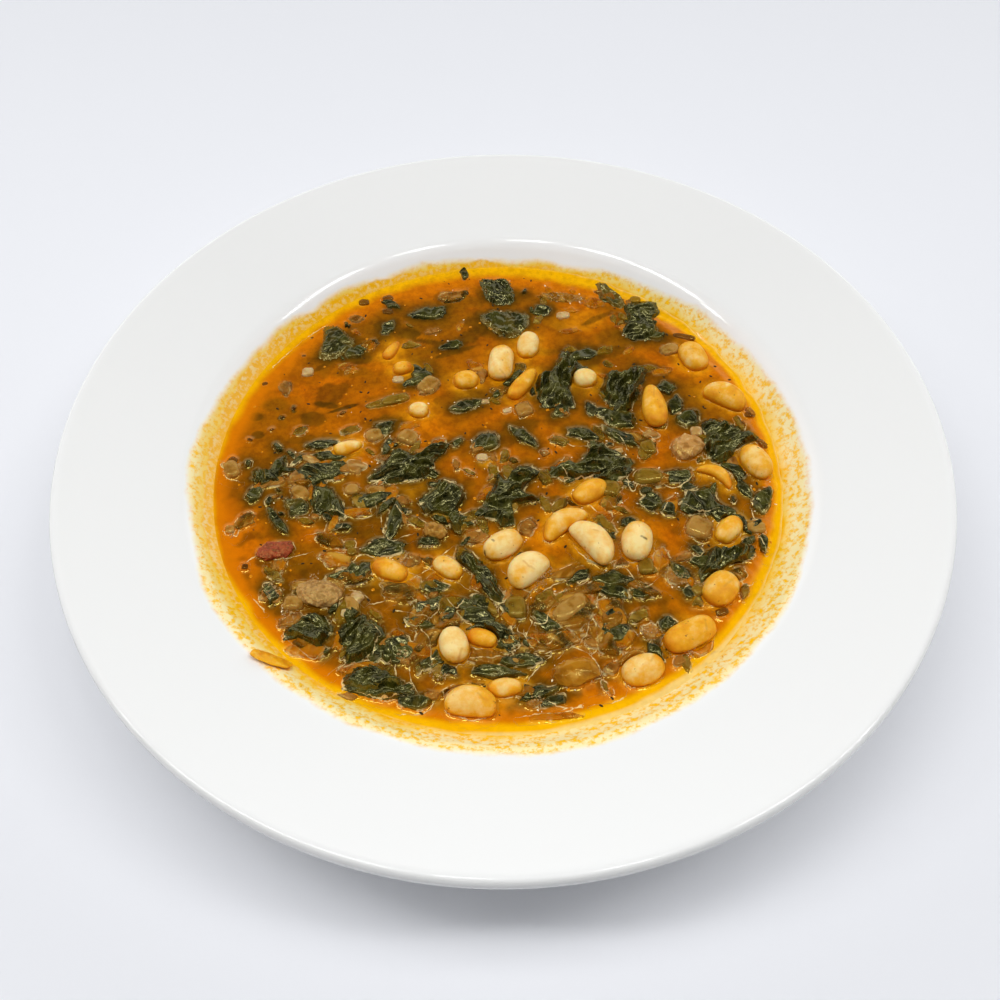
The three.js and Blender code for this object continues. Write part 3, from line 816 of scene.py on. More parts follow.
def paintedHighlightLine(tree, coords, colour):
    # a broken bright line painted on the colour, partly oil and partly a painted highlight, and how strong it
    # is
    wiggle = times(tree, minus(tree, noiseOf(tree, coords, 1.7, 2), 0.5), paintedHighlightLines["wiggle"])
    away = maths(tree, "ABSOLUTE", plus(tree, attributeOf(tree, "paintedHighlightLines"), wiggle))
    width = times(tree, patchesOf(tree, coords, 2.6, 2, 0.4, 0.62), paintedHighlightLines["width"])
    line = rangeOf(tree, away, plus(tree, width, paintedHighlightLines["thinnest"]), 0.0)
    oil = linearColour(*paintedHighlightLines["colour"])
    return blendColours(tree, times(tree, line, paintedHighlightLines["strength"]), colour, oil), line


highlightLinePlaces, highlightLineHeadings = highlightLineSpots()
highlightLineTree = treeOf(highlightLinePlaces)


# Beans

beans = {
    "levels": 3,
    "dentSize": 5.0,
    "dentDepth": 0.2,
    # how far the broth's amber has soaked into a bean, where it isn't seen to differ and where it is
    "wash": 0.1,
    "washOf": {1: 0.2, 3: 0.5, 4: 0.5, 6: 0.55, 7: 0.42, 8: 0.42, 9: 0.36, 10: 0.2, 12: 0.5, 13: 0.36,
               16: 0.16, 18: 0.2, 19: 0.45, 20: 0.12, 21: 0.6, 22: 0.35, 23: 0.3, 24: 0.3, 25: 0.5,
               26: 0.42, 27: 0.42, 28: 0.42, 29: 0.5, 30: 0.4},
    "cream": (248, 221, 152),
    "gold": (238, 172, 36),
    "amber": (212, 124, 4),
    "speck": (170, 108, 30),
    "crease": (206, 142, 44),
    "mark": (84, 52, 12),
    "strengths": {"crease": 0.5, "mark": 0.85},
    "markWidth": 0.3,
    "grain": 0.8,
    "grainDepth": 0.05,
    "finish": {
        "Roughness": 0.42, "IOR": 1.42, "Specular Tint": (1, 0.86, 0.45, 1), "Subsurface Weight": 0.4,
        "Subsurface Radius": (1.0, 0.5, 0.15), "Subsurface Scale": 3 * mm,
    },
    "marks": [((640, 541), (646, 543)), ((492, 542), (494, 544)), ((484, 550), (485, 552)),
              ((757, 450), (758, 451))],
    "creases": [((523, 565), (528, 570)), ((528, 570), (534, 572)), ((655, 655), (650, 664)),
                ((462, 650), (458, 661)), ((688, 352), (694, 352)), ((704, 622), (706, 632)),
                ((654, 386), (653, 400)), ((754, 476), (757, 468)), ((731, 583), (722, 590)),
                ((500, 372), (506, 376)), ((593, 535), (598, 536)), ((478, 696), (484, 702))],
}


def distanceToLines(points, lines):
    # from each point to the nearest of some short lines, seen from above
    nearest = np.full(len(points), 9.0)
    for ends in lines:
        start, end = seenPoints(ends, brothLevel + 3)[:, :2]
        along = end - start
        share = np.clip((points[:, :2] - start) @ along / (along @ along), 0, 1)
        away = np.linalg.norm(points[:, :2] - start - share[:, None] * along, axis=1)
        nearest = np.minimum(nearest, away)
    return nearest


def beanMaterial():
    material, tree, shader, coords = newMaterial("beanSkin", beans["finish"])
    cloud = times(tree, minus(tree, noiseOf(tree, coords, 3.2, 5, 0.65), 0.5), 1.1)
    wash = maths(tree, "ADD", attributeOf(tree, "wash"), cloud, clamp=True)
    ramp = put(tree, "ShaderNodeValToRGB", {"Fac": wash})
    stops = ramp.color_ramp.elements
    stops[0].color = linearColour(*beans["cream"])
    stops[1].color = linearColour(*beans["amber"])
    stops.new(0.5).color = linearColour(*beans["gold"])
    speck = patchesOf(tree, coords, 1.3, 3, 0.68, 0.75)
    colour = blendColours(tree, speck, ramp.outputs["Color"], linearColour(*beans["speck"]))
    uneven = times(tree, noiseOf(tree, coords, 1.4, 2), 0.5)
    for name, strength in beans["strengths"].items():
        away = plus(tree, attributeOf(tree, name), uneven)
        line = rangeOf(tree, away, beans["markWidth"] + 0.5, beans["markWidth"])
        colour = blendColours(tree, times(tree, line, strength), colour, linearColour(*beans[name]))
    tree.links.new(colour, shader.inputs["Base Color"])
    bumpTo(tree, shader, noiseOf(tree, coords, beans["grain"], 3), beans["grainDepth"])
    return material


def makeBeans():
    material = beanMaterial()
    names = sorted(name for name in nodes if name.startswith("bean_"))
    for name in names:
        number = int(name[-2:])
        points, faces, shape = smoothedNode(name, beans["levels"])
        beanFootprints.append(shape)
        middle, turn, half = shape
        x, y, z = points.T
        dents = hills(x / beans["dentSize"], y / beans["dentSize"] + z / 3, number)
        points = points + (points - middle) / half[0] * (dents * beans["dentDepth"])[:, None]
        piece = meshObject(name.replace("bean_", "smoothBean_"), points, faces, material)
        # soaked most near the broth, in patches, and at one end
        x, y, z = points.T
        own = beans["washOf"].get(number, beans["wash"])
        wash = own + 0.85 * (1 - soften(z - brothLevel, 0, 2.9)) ** 1.4 * (1 - 0.4 * own)
        wash += 0.18 * hills(x / 4, y / 4, number + 40)
        wash += 0.25 * (0.5 + own) * soften(hills(x / 6, y / 6, number + 60), 0.15, 0.6)
        along = ((points - middle) @ turn)[:, 0] / half[0]
        wash += 0.25 * (0.5 + own) * soften(along if number % 2 else -along, 0.3, 1)
        setAttribute(piece, "wash", np.clip(wash, 0, 1))
        setAttribute(piece, "mark", distanceToLines(points, beans["marks"]))
        setAttribute(piece, "crease", distanceToLines(points, beans["creases"]))
        served(piece, "bean", name)
    print("beans made", len(names))


makeBeans()


# Leaves of escarole: outlines as they are seen in the picture, one for each leaf of the model

leafOutlines = {
    1: [(481, 277), (490, 277), (507, 279), (512, 287), (513, 298), (504, 302), (490, 299), (483, 287)],
    2: [(481, 316), (490, 310), (507, 309), (527, 313), (526, 323), (515, 334), (502, 333), (491, 326)],
    3: [(324, 327), (335, 323), (346, 332), (353, 341), (344, 350), (331, 356), (319, 354), (323, 336)],
    4: [(625, 305), (635, 300), (651, 300), (659, 309), (653, 318), (658, 328), (650, 336), (636, 337),
        (624, 330), (629, 318)],
    5: [(597, 283), (604, 281), (613, 289), (622, 296), (624, 303), (617, 305), (606, 297)],
    6: [(572, 352), (577, 362), (577, 374), (570, 385), (574, 404), (560, 402), (546, 404), (538, 391),
        (539, 376), (549, 369), (557, 361), (562, 351)],
    7: [(602, 388), (606, 374), (614, 374), (627, 371), (636, 364), (646, 371), (640, 385), (636, 396),
        (629, 406), (619, 410), (608, 399)],
    8: [(704, 421), (722, 420), (741, 427), (758, 435), (747, 441), (738, 447), (729, 457), (716, 459),
        (708, 450), (706, 436)],
    9: [(550, 474), (555, 465), (568, 466), (580, 460), (589, 452), (590, 440), (603, 442), (614, 450),
        (630, 460), (629, 470), (615, 479), (603, 481), (592, 474), (578, 477), (564, 474)],
    10: [(682, 504), (688, 490), (698, 487), (709, 484), (717, 479), (717, 493), (723, 502), (734, 507),
         (733, 514), (721, 520), (712, 514), (704, 511), (691, 512)],
    11: [(701, 570), (709, 551), (718, 545), (727, 548), (741, 542), (754, 546), (752, 556), (739, 560),
         (729, 563), (722, 568), (709, 574)],
    12: [(371, 476), (385, 458), (397, 448), (414, 453), (425, 452), (435, 445), (446, 443), (442, 451),
         (433, 459), (432, 468), (425, 475), (413, 477), (400, 479), (386, 479)],
    13: [(297, 471), (304, 463), (315, 461), (341, 460), (342, 470), (336, 476), (322, 479), (311, 483),
         (306, 477)],
    14: [(252, 476), (255, 467), (266, 472), (276, 460), (284, 454), (285, 463), (279, 475), (276, 480),
         (265, 481), (257, 480)],
    15: [(312, 508), (310, 493), (316, 484), (330, 486), (337, 495), (343, 504), (345, 514), (336, 514),
         (326, 510), (318, 512)],
    16: [(421, 500), (432, 487), (443, 479), (456, 483), (464, 490), (462, 500), (457, 506), (461, 516),
         (463, 524), (457, 531), (451, 525), (448, 516), (438, 511), (427, 511)],
    17: [(498, 473), (506, 477), (516, 467), (530, 465), (538, 471), (527, 482), (524, 490), (538, 497),
         (524, 500), (512, 504), (511, 514), (514, 521), (503, 523), (494, 516), (478, 512), (484, 502),
         (490, 492), (496, 482)],
    18: [(456, 557), (467, 548), (478, 555), (490, 569), (497, 581), (504, 595), (495, 600), (484, 588),
         (475, 574), (464, 565)],
    19: [(284, 638), (288, 627), (296, 620), (306, 614), (318, 612), (327, 618), (331, 627), (325, 637),
         (317, 644), (307, 640), (296, 637)],
    20: [(338, 633), (344, 622), (356, 614), (369, 618), (381, 628), (379, 639), (370, 652), (356, 661),
         (346, 659), (340, 647)],
    21: [(343, 686), (346, 672), (363, 666), (378, 668), (393, 674), (410, 687), (411, 693), (396, 696),
         (381, 697), (361, 693)],
    22: [(481, 622), (490, 621), (501, 622), (511, 630), (518, 639), (516, 645), (504, 646), (495, 640),
         (490, 633)],
}

leaves = {
    "cells": 52,
    "seenHeight": 24.0,
    "low": 0.6,
    "curl": 0.5,
    "folds": 0.75,
    "dark": (16, 18, 1),
    "green": (62, 60, 14),
    "olive": (104, 78, 12),
    "vein": (104, 98, 50),
    "crease": 1.7,
    "creaseDepth": 0.42,
    "veinSize": 2.2,
    "flatterFrom": 20,  # the far leaves lie sunk and flatter, from here on
    "flatterAt": 80,
    "flatter": 0.65,
    "finish": {"Roughness": 0.13, "IOR": 1.5, "Specular IOR Level": 1.0, "Specular Tint": (1, 0.92, 0.4, 1)},
    "oliveOf": {2: 0.3, 3: 0.3, 5: 0.5, 11: 0.1, 16: 0.1},
    "grainOf": {20: 52, 19: -35, 9: 15, 18: -50, 12: 20, 6: 65},
    "foldsOf": {1: 0.4, 2: 0.14, 3: 0.22, 4: 0.6, 5: 0.4},
}


def paintedWaterlineHighlight(tree, coords, colour, strength):
    # a painted highlight: a pale broken line where a sheet dips into the broth, fainter in the upper half
    place = put(tree, "ShaderNodeSeparateXYZ", {0: coords}).outputs
    height = minus(tree, times(tree, place["Z"], 1 / mm), brothLevel)
    fainter = times(tree, rangeOf(tree, place["Y"], -10 * mm, 40 * mm), -0.8)
    strength = times(tree, plus(tree, fainter, 1.0), strength)
    highlightBand = times(tree, rangeOf(tree, height, 0.02, 0.16), rangeOf(tree, height, 0.5, 0.26))
    highlightBand = times(tree, highlightBand, patchesOf(tree, coords, 3.4, 3, 0.49, 0.62))
    return blendColours(tree, times(tree, highlightBand, strength), colour, linearColour(*paintedHighlightLines["colour"]))


def leafMaterial():
    material, tree, shader, coords = newMaterial("wetLeaf", leaves["finish"])
    tones = ("dark", "green", "olive", "vein")
    dark, green, oliveTone, veinTone = (linearColour(*leaves[tone]) for tone in tones)
    colour = blendColours(tree, patchesOf(tree, coords, 4.5, 4, 0.38, 0.66, 0.6), dark, green)
    olive = plus(tree, attributeOf(tree, "olive"), minus(tree, noiseOf(tree, coords, 6, 3), 0.5))
    colour = blendColours(tree, rangeOf(tree, olive, 0.25, 0.7), colour, oliveTone)
    cells = {"Vector": coords, "Scale": 1000 / leaves["veinSize"]}
    veins = put(tree, "ShaderNodeTexVoronoi", cells, feature="DISTANCE_TO_EDGE").outputs["Distance"]
    vein = rangeOf(tree, veins, 0.07, 0.0)
    colour = blendColours(tree, times(tree, vein, 0.14), colour, veinTone)
    colour = paintedHighlightLine(tree, coords, paintedWaterlineHighlight(tree, coords, colour, 0.7))[0]
    tree.links.new(colour, shader.inputs["Base Color"])
    creased = plus(tree, creasesOf(tree, leaves["crease"]), times(tree, vein, 0.05))
    back = put(tree, "ShaderNodeSeparateXYZ", {0: coords}).outputs["Y"]
    flatter = rangeOf(tree, back, leaves["flatterFrom"] * mm, leaves["flatterAt"] * mm)
    crisp = minus(tree, 1.0, times(tree, flatter, leaves["flatter"]))
    bumpTo(tree, shader, times(tree, creased, crisp), leaves["creaseDepth"])
    return material


wetLeaf = leafMaterial()


def makeLeaves():
    for number, outline in leafOutlines.items():
        name = f"leaf_{number:02d}"
        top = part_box(name)[1].z / mm
        flat = seenPoints(outline, leaves["seenHeight"])[:, :2]
        points, faces, own = sheet(
            flat, brothLevel + leaves["low"], top, number, leaves["cells"], curl=leaves["curl"],
            grain=leaves["grainOf"].get(number), folds=leaves["foldsOf"].get(number, leaves["folds"]))
        piece = sheetObject(name.replace("leaf_", "wetLeaf_"), points, faces, own, wetLeaf)
        thin = leaves["oliveOf"].get(number, 0.0) + 0.3 * soften(own[:, 0], 0.6, 1)
        setAttribute(piece, "olive", thin)
        setHighlightLineDistance(piece)
        served(piece, "leaf", name)
    print("leaves made", len(leafOutlines))


makeLeaves()


# Shreds and scraps between them: where each is seen, length, width, heading

shreds = {
    "cells": 15,
    "height": 1.4,
    "scattered": 72,
    "dark": [
        (429, 312, 15, 6.5, 8), (384, 547, 14.5, 7.2, -8), (543, 309, 7.5, 5.5, 10), (584, 354, 12, 6, 12),
        (676, 404, 9, 5.5, 80), (604, 412, 9, 5, -20), (421, 376, 11, 6, 55), (466, 404, 12, 6, 15),
        (488, 441, 8.5, 8, 30), (523, 435, 11.5, 4, -48), (679, 475, 10, 6.5, 5), (651, 500, 8, 7.5, 20),
        (764, 498, 11, 6, 70), (741, 483, 13, 4, -62), (368, 500, 9, 4.6, -25), (253, 493, 8, 5, 75),
        (277, 520, 13, 3.2, -50), (394, 518, 15, 5.4, 78), (460, 520, 8, 5, 15), (613, 579, 12, 7, -4),
        (611, 622, 12, 4.6, 52), (655, 651, 7.5, 4, 105), (539, 692, 11.5, 4.6, 16), (496, 671, 16, 4.8, -8),
        (402, 653, 9, 5.5, 30), (415, 702, 11, 5.5, -5), (270, 592, 9, 5, -60), (429, 604, 10, 5, 25),
        (545, 620, 11, 4.6, -38), (561, 409, 8, 4.4, 40), (654, 335, 8.5, 4.4, -10), (390, 303, 8, 4.2, -35),
        (452, 345, 9, 4, 12), (680, 571, 9, 4.4, -50), (764, 542, 7.5, 3.6, 80), (341, 575, 9, 4, 18),
        (322, 443, 11, 4.6, 8), (689, 418, 10, 7, 30), (628, 521, 5.5, 4.5, 20), (464, 272, 3.2, 8, 0),
        (388, 327, 8, 6, 60), (620, 435, 14, 6, -35), (666, 387, 8, 6, 10), (615, 590, 13, 5, -20),
        (580, 575, 9, 4, 30), (640, 592, 8, 4, -15), (375, 655, 8, 5, 60), (448, 668, 6, 5, 0),
        (512, 376, 11, 8, 30), (578, 371, 8, 7, 60), (620, 418, 13, 8, -10), (583, 433, 12, 4.6, -15),
        (420, 374, 12, 5, -50), (385, 427, 7, 7, 0), (330, 455, 13, 4, 0), (483, 441, 9, 7, 20),
        (376, 497, 11, 5, 10), (730, 470, 8, 11, 70), (735, 523, 8, 10, 30), (668, 507, 6, 6, 0),
        (702, 560, 8, 5, 0), (714, 582, 11, 7, -30), (690, 591, 5, 5, 0), (485, 634, 12, 6, -30),
        (438, 657, 12, 5, 30), (524, 660, 11, 4.6, 0), (512, 686, 9, 4, 0), (480, 692, 12, 4, 10),
        (552, 701, 9, 4, 20), (655, 656, 6, 5, 0), (618, 634, 9, 6, 30), (668, 623, 7, 5, 0),
        (345, 612, 6, 4, 0), (364, 571, 5, 7, 0), (435, 586, 9, 5, 0), (395, 645, 10, 6, 20),
        (370, 673, 8, 7, 0), (296, 505, 7, 10, 60), (605, 531, 9, 4, -50), (515, 562, 8, 3, 60),
        (430, 541, 7, 4, 0), (600, 487, 6, 3, 0),
        (560, 380, 6, 5, 0), (355, 352, 7, 6, 20), (480, 600, 8, 5, -40), (512, 610, 9, 4, -35),
        (476, 615, 11, 6.5, -28), (466, 604, 7, 4, -10), (513, 661, 8, 4, 0), (612, 615, 7, 5, 40),
        (557, 637, 4.5, 3, 80), (579, 613, 6, 4, 50), (389, 651, 10, 4, 75), (356, 571, 8, 5, -45),
        (448, 614, 6, 4, 60), (420, 622, 9, 3.4, -15), (697, 549, 4.6, 3, -45), (591, 408, 7, 4.5, 85),
        (497, 394, 4, 3, 75), (412, 381, 6.5, 3.4, 25), (387, 446, 8, 3.6, 80), (386, 505, 8, 3.2, 45),
        (646, 490, 4, 3.4, 20), (688, 485, 5.5, 4, -20), (628, 482, 5, 3.4, -50), (403, 510, 4, 2.6, -20),
    ],
}


def spotsSeen(spots, height):
    # spots given by picture pixels, as millimetres
    return [(*seenPoints(spot[:2], brothLevel + height)[0][:2], *spot[2:]) for spot in spots]


leafEdges = np.vstack([
    seenPoints(outline, leaves["seenHeight"])[:, :2] for outline in leafOutlines.values()])


def spotsScattered(count, seed, lengths, nearLeaves, spread=4.0):
    # spots in millimetres that keep off the beans, some beside leaves and the rest anywhere
    draw = np.random.default_rng(seed)
    spots = []
    while len(spots) < count:
        if draw.random() < nearLeaves:
            x, y = leafEdges[draw.integers(len(leafEdges))] + draw.normal(0, spread, 2)
        else:
            x, y = draw.uniform(-88, 88, 2)
        length, slim, heading = draw.uniform(*lengths), draw.uniform(0.32, 0.7), draw.uniform(0, 180)
        upper = soften(np.array(y), -20, 50)
        if math.hypot(x, y) > 89 or draw.random() < 0.45 * upper or inTheOpen(x, y):
            continue
        if not any(np.hypot(*((np.array([x, y, middle[2]]) - middle) @ turn / (half + 0.8))[:2]) < 1.05
                   for middle, turn, half in beanFootprints):
            spots.append((x, y, length, length * slim, heading))
    return spots


def inTheOpen(x, y):
    # places where the picture shows bare broth: where, radius in millimetres
    return any(math.hypot(x - place[0], (y - place[1])) < radius for place, radius in openPlaces)


openPlaces = [(seenPoints(seenAt, brothLevel)[0], radius) for seenAt, radius in (
    ((672, 598), 8), ((440, 425), 7), ((265, 420), 9), ((300, 370), 9), ((540, 520), 4), ((330, 430), 6),
    ((655, 515), 4), ((300, 560), 4), ((660, 665), 6), ((570, 325), 4), ((660, 610), 6), ((590, 440), 3))]


def ragged(spots, cells, height, seed, **settings):
    parts = []
    for i, (x, y, length, width, heading) in enumerate(spots):
        outline = raggedOutline((x, y), length, width, heading, seed + i)
        parts.append(sheet(outline, brothLevel + 0.45, brothLevel + height, seed + i, cells, **settings))
    return joined(parts)


def makeShreds():
    spots = spotsSeen(shreds["dark"], shreds["height"] / 2)
    spots += spotsScattered(shreds["scattered"], 11, (1.6, 6.5), 0.7)
    points, faces, own = ragged(spots, shreds["cells"], shreds["height"], 100, curl=0.4)
    piece = sheetObject("leafShreds", points, faces, own, wetLeaf)
    tone = 0.25 * hills(points[:, 0] / 9, points[:, 1] / 9, 3) + 0.25 * soften(own[:, 0], 0.5, 1)
    setAttribute(piece, "olive", np.clip(tone + 0.15, 0, 1))
    setHighlightLineDistance(piece)
    served(piece, "leaf")
    print("shreds made", len(spots))


makeShreds()


# Meat, tomato and onion chunks and the pepper strip

chunks = {
    "meat_01": {
        "lumps": 0.5, "grain": 2.2, "rough": 0.2,
        "tones": ((192, 140, 74), (156, 104, 44), (218, 176, 116)),
    },
    "meat_02": {
        "lumps": 1.2, "grain": 1.5, "rough": 0.32,
        "tones": ((184, 140, 80), (146, 102, 50), (214, 174, 112)),
    },
    "tomato_01": {
        "lumps": 1.3, "grain": 1.4, "rough": 0.36,
        "tones": ((158, 60, 38), (116, 36, 22), (190, 110, 66)),
    },
    "onion_01": {
        "lumps": 0.3, "grain": 6, "rough": 0.14,
        "tones": ((178, 118, 24), (140, 84, 8), (206, 152, 60)),
    },
    "onion_02": {
        "lumps": 0.4, "grain": 2.5, "rough": 0.24,
        "tones": ((170, 120, 46), (130, 84, 24), (208, 166, 92)),
    },
}

chunkShape = {"levels": 4, "crease": 0.55}

pepper = {
    "levels": 3,
    "wave": 0.25,
    "waveSize": 2.2,
    "raisedEnd": 0.5,
    "grain": 4,
    "rough": 0.3,
    "tones": ((246, 174, 16), (222, 140, 8), (255, 206, 80)),
}

softFinish = {
    "IOR": 1.45, "Specular IOR Level": 0.9, "Specular Tint": (1, 0.85, 0.26, 1), "Subsurface Weight": 0.3,
    "Subsurface Radius": (1.0, 0.45, 0.2), "Subsurface Scale": 1.5 * mm,
}


def tonedMaterial(name, tones, grain, rough, clear=0.0, sheets=False, pebbly=0.0, streaky=0.55):
    # a colour that drifts from the first tone to the darker second and the paler third, which runs along the
    # folds of sheets and lies in spots on lumps
    finish = {**softFinish, "Roughness": rough, "Alpha": 1 - clear}
    material, tree, shader, coords = newMaterial(name, finish)
    first, darker, paler = (linearColour(*tone) for tone in tones)
    if sheets:
        cloud = noiseOf(tree, coords, 2 * grain, 1.5)
        pale = rangeOf(tree, creasesOf(tree, 4.5), 0.08, 0.26)
    else:
        cloud = noiseOf(tree, coords, grain, 4)
        pale = times(tree, patchesOf(tree, coords, grain * 0.6, 3, 0.54, 0.68, 0.6), streaky)
    colour = blendColours(tree, rangeOf(tree, cloud, 0.55, 0.35), first, darker)
    colour = blendColours(tree, pale, colour, paler)
    if sheets:
        colour, line = paintedHighlightLine(tree, coords, paintedWaterlineHighlight(tree, coords, colour, 0.75))
        ridge = plus(tree, creasesOf(tree, 1.6), times(tree, line, paintedHighlightLines["ridge"]))
        bumpTo(tree, shader, ridge, 0.45)
    else:
        bumpTo(tree, shader, noiseOf(tree, coords, grain * 0.6, 3, 0.5), pebbly)
    tree.links.new(colour, shader.inputs["Base Color"])
    return material


def makeChunks():
    for seed, (name, look) in enumerate(chunks.items()):
        points, faces, shape = smoothedNode(name, chunkShape["levels"], chunkShape["crease"])
        x, y, z = points.T
        lumps = hills(x / 2.2 + z, y / 2.2, seed) * 0.3 + hills(x / 0.8, y / 0.8 + z, seed + 9) * 0.1
        outward = points - shape[0]
        outward /= np.linalg.norm(outward, axis=1)[:, None]
        points = points + outward * (lumps * look["lumps"])[:, None]
        material = tonedMaterial(
            name + "_skin", look["tones"], look["grain"], look["rough"], pebbly=look["rough"])
        served(meshObject("soft_" + name, points, faces, material), name[:-3], name)
    print("chunks made", len(chunks))


def makePepper():
    low, high = (corner[0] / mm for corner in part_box("pepper_strip"))
    points, faces = smoothedNode("pepper_strip", pepper["levels"])[:2]
    x, y = points[:, 0], points[:, 1]
    points[:, 2] += pepper["wave"] * hills(x / pepper["waveSize"], y / pepper["waveSize"], 4)
    points[:, 2] += pepper["raisedEnd"] * soften(x, low + 7, high)
    material = tonedMaterial("pepperSkin", pepper["tones"], pepper["grain"], pepper["rough"])
    onBody(meshObject("softPepper", points, faces, material), "pepper", "pepper_strip")
    print("pepper strip made")


makeChunks()
makePepper()


# Skins and scraps of onion, celery and tomato: where each is seen, length, width, heading

scraps = {
    "cells": 18,
    "thickness": 0.25,
    "curl": 0.3,
    "grain": 2.4,
    "rough": 0.16,
    "scattered": {"olive": 70, "tan": 40, "amber": 50},
}

foldedSkins = {
    "cells": 32,
    "height": 1.5,
    "curl": 0.5,
    "foldSize": 3.4,
    "crumples": 0.12,
    "grain": 3.2,
    "rough": 0.1,
    "clear": 0.35,
    "tones": ((160, 98, 10), (80, 54, 4), (222, 160, 60)),
    "spots": [
        (445, 618, 8, 11, 70), (572, 610, 18, 13, 40), (547, 641, 20, 6, 10), (480, 655, 18, 6, -10),
        (430, 640, 12, 7, 30), (400, 592, 14, 7, -20), (350, 578, 16, 6, 10), (520, 592, 11, 7, 50),
        (604, 640, 14, 7, -50), (632, 660, 12, 6, 20), (384, 566, 12, 5, 0), (460, 690, 14, 5, 15),
        (520, 690, 12, 4.4, -10), (590, 588, 12, 5, 15), (640, 586, 12, 5, -30), (304, 640, 8, 5, 0),
        (440, 566, 14, 4.4, -30), (545, 604, 9, 7, 0), (612, 616, 12, 8, 60), (500, 640, 15, 5, 5),
        (420, 615, 10, 6, 60), (568, 572, 12, 4.6, 10), (664, 640, 10, 5, 30), (455, 296, 12, 6, 10),
        (560, 297, 15, 5, -5), (612, 297, 9, 4, -20), (429, 386, 9, 7, 40), (300, 480, 9, 5, -20),
        (330, 540, 12, 5, -30), (245, 520, 8, 5, 40), (700, 530, 10, 8, 60), (656, 480, 10, 6, 10),
        (735, 575, 9, 5, 20), (610, 500, 9, 7, 60), (575, 500, 8, 4, -20), (690, 350, 9, 4, 30),
        (640, 440, 12, 6, -30), (760, 470, 8, 5, 70), (370, 345, 9, 5, 40), (500, 390, 8, 4, 0),
    ],
}

skins = {
    "olive": {
        "tones": ((144, 104, 16), (102, 72, 8), (190, 150, 60)), "clear": 0.3, "height": 0.9,
        "spots": [
            (386, 401, 14, 5, 20), (517, 370, 8, 8, 40), (605, 524, 9, 4, -40), (610, 494, 8, 9, 60),
            (645, 368, 9, 4, 0), (648, 449, 7, 6, 30), (648, 477, 9, 6, 10), (647, 569, 6, 5, 0),
            (515, 608, 7, 8, 20), (519, 662, 5, 3.4, 10), (560, 505, 8, 4, 50), (600, 560, 9, 4, -10),
            (560, 600, 10, 4, 40), (430, 585, 8, 4, 0), (455, 640, 8, 4, -30), (472, 690, 7, 4, 10),
            (640, 615, 8, 4, 30), (700, 600, 6, 3, 50), (350, 430, 7, 4, 20), (505, 455, 7, 4, 80),
            (560, 440, 8, 4, -20), (410, 345, 8, 4, 0), (300, 430, 6, 4, 30), (605, 350, 7, 4, 30),
        ],
    },
    "tan": {
        "tones": ((180, 118, 42), (132, 78, 16), (222, 176, 104)), "clear": 0.3, "height": 1.0,
        "spots": [
            (612, 297, 9, 4, -20), (645, 318, 7, 4, -20), (356, 318, 7, 4, 0), (450, 296, 11, 6, 10),
            (563, 297, 15, 4.6, -5), (429, 386, 9, 7, 40), (669, 349, 8, 5, 20), (232, 468, 6, 8, 70),
            (355, 466, 8, 7, 40), (433, 331, 6, 3, 20), (756, 525, 6, 4, 0), (701, 529, 9, 9, 60),
            (676, 575, 6, 8, 60), (271, 595, 7, 6, 0), (290, 620, 8, 5, 20), (323, 590, 12, 5, 10),
            (650, 632, 6, 5, 10), (450, 618, 5, 8, 70), (404, 652, 8, 7, -60), (432, 695, 5, 3, 0),
            (534, 702, 5, 3.4, 0), (411, 560, 6, 5, 10), (347, 697, 7, 3, -10), (680, 660, 5, 4, 40),
            (375, 436, 6, 5, 20), (408, 438, 7, 6, -30), (299, 478, 9, 4, 10), (300, 497, 8, 6, 50),
            (651, 433, 7, 5, 10), (476, 537, 8, 5, 20), (545, 453, 3.4, 3, 0), (570, 675, 9, 7, 20),
            (625, 560, 8, 3.4, 20), (590, 640, 7, 4, -40), (612, 668, 6, 4, 30),
        ],
    },
    "amber": {
        "tones": ((216, 130, 6), (176, 94, 2), (242, 182, 66)), "clear": 0.5, "height": 0.8,
        "spots": [
            (570, 608, 16, 11, 40), (547, 640, 18, 6, 10), (305, 650, 14, 6, -10), (595, 303, 6, 8, 70),
            (357, 668, 14, 5, 5), (569, 331, 8, 3, 10), (700, 648, 9, 5, 30), (555, 716, 15, 3, 0),
            (400, 590, 12, 7, 20), (480, 650, 12, 5, -20), (620, 640, 12, 6, 40), (520, 590, 12, 5, 30),
            (354, 512, 12, 3.6, 5), (336, 560, 12, 6, -10), (660, 560, 10, 6, 60), (590, 530, 9, 5, 40),
            (440, 575, 10, 4, 30), (612, 610, 12, 6, -50), (340, 640, 8, 4, 80), (420, 650, 10, 5, -30),
        ],
    },
}

nuggetShape = {"rings": 12, "squareness": 3.6, "height": 0.62, "uneven": 0.12}
nuggetLook = {"grain": 3.4, "rough": 0.1, "clear": 0.3, "pebbly": 0.03, "streaky": 0.2}

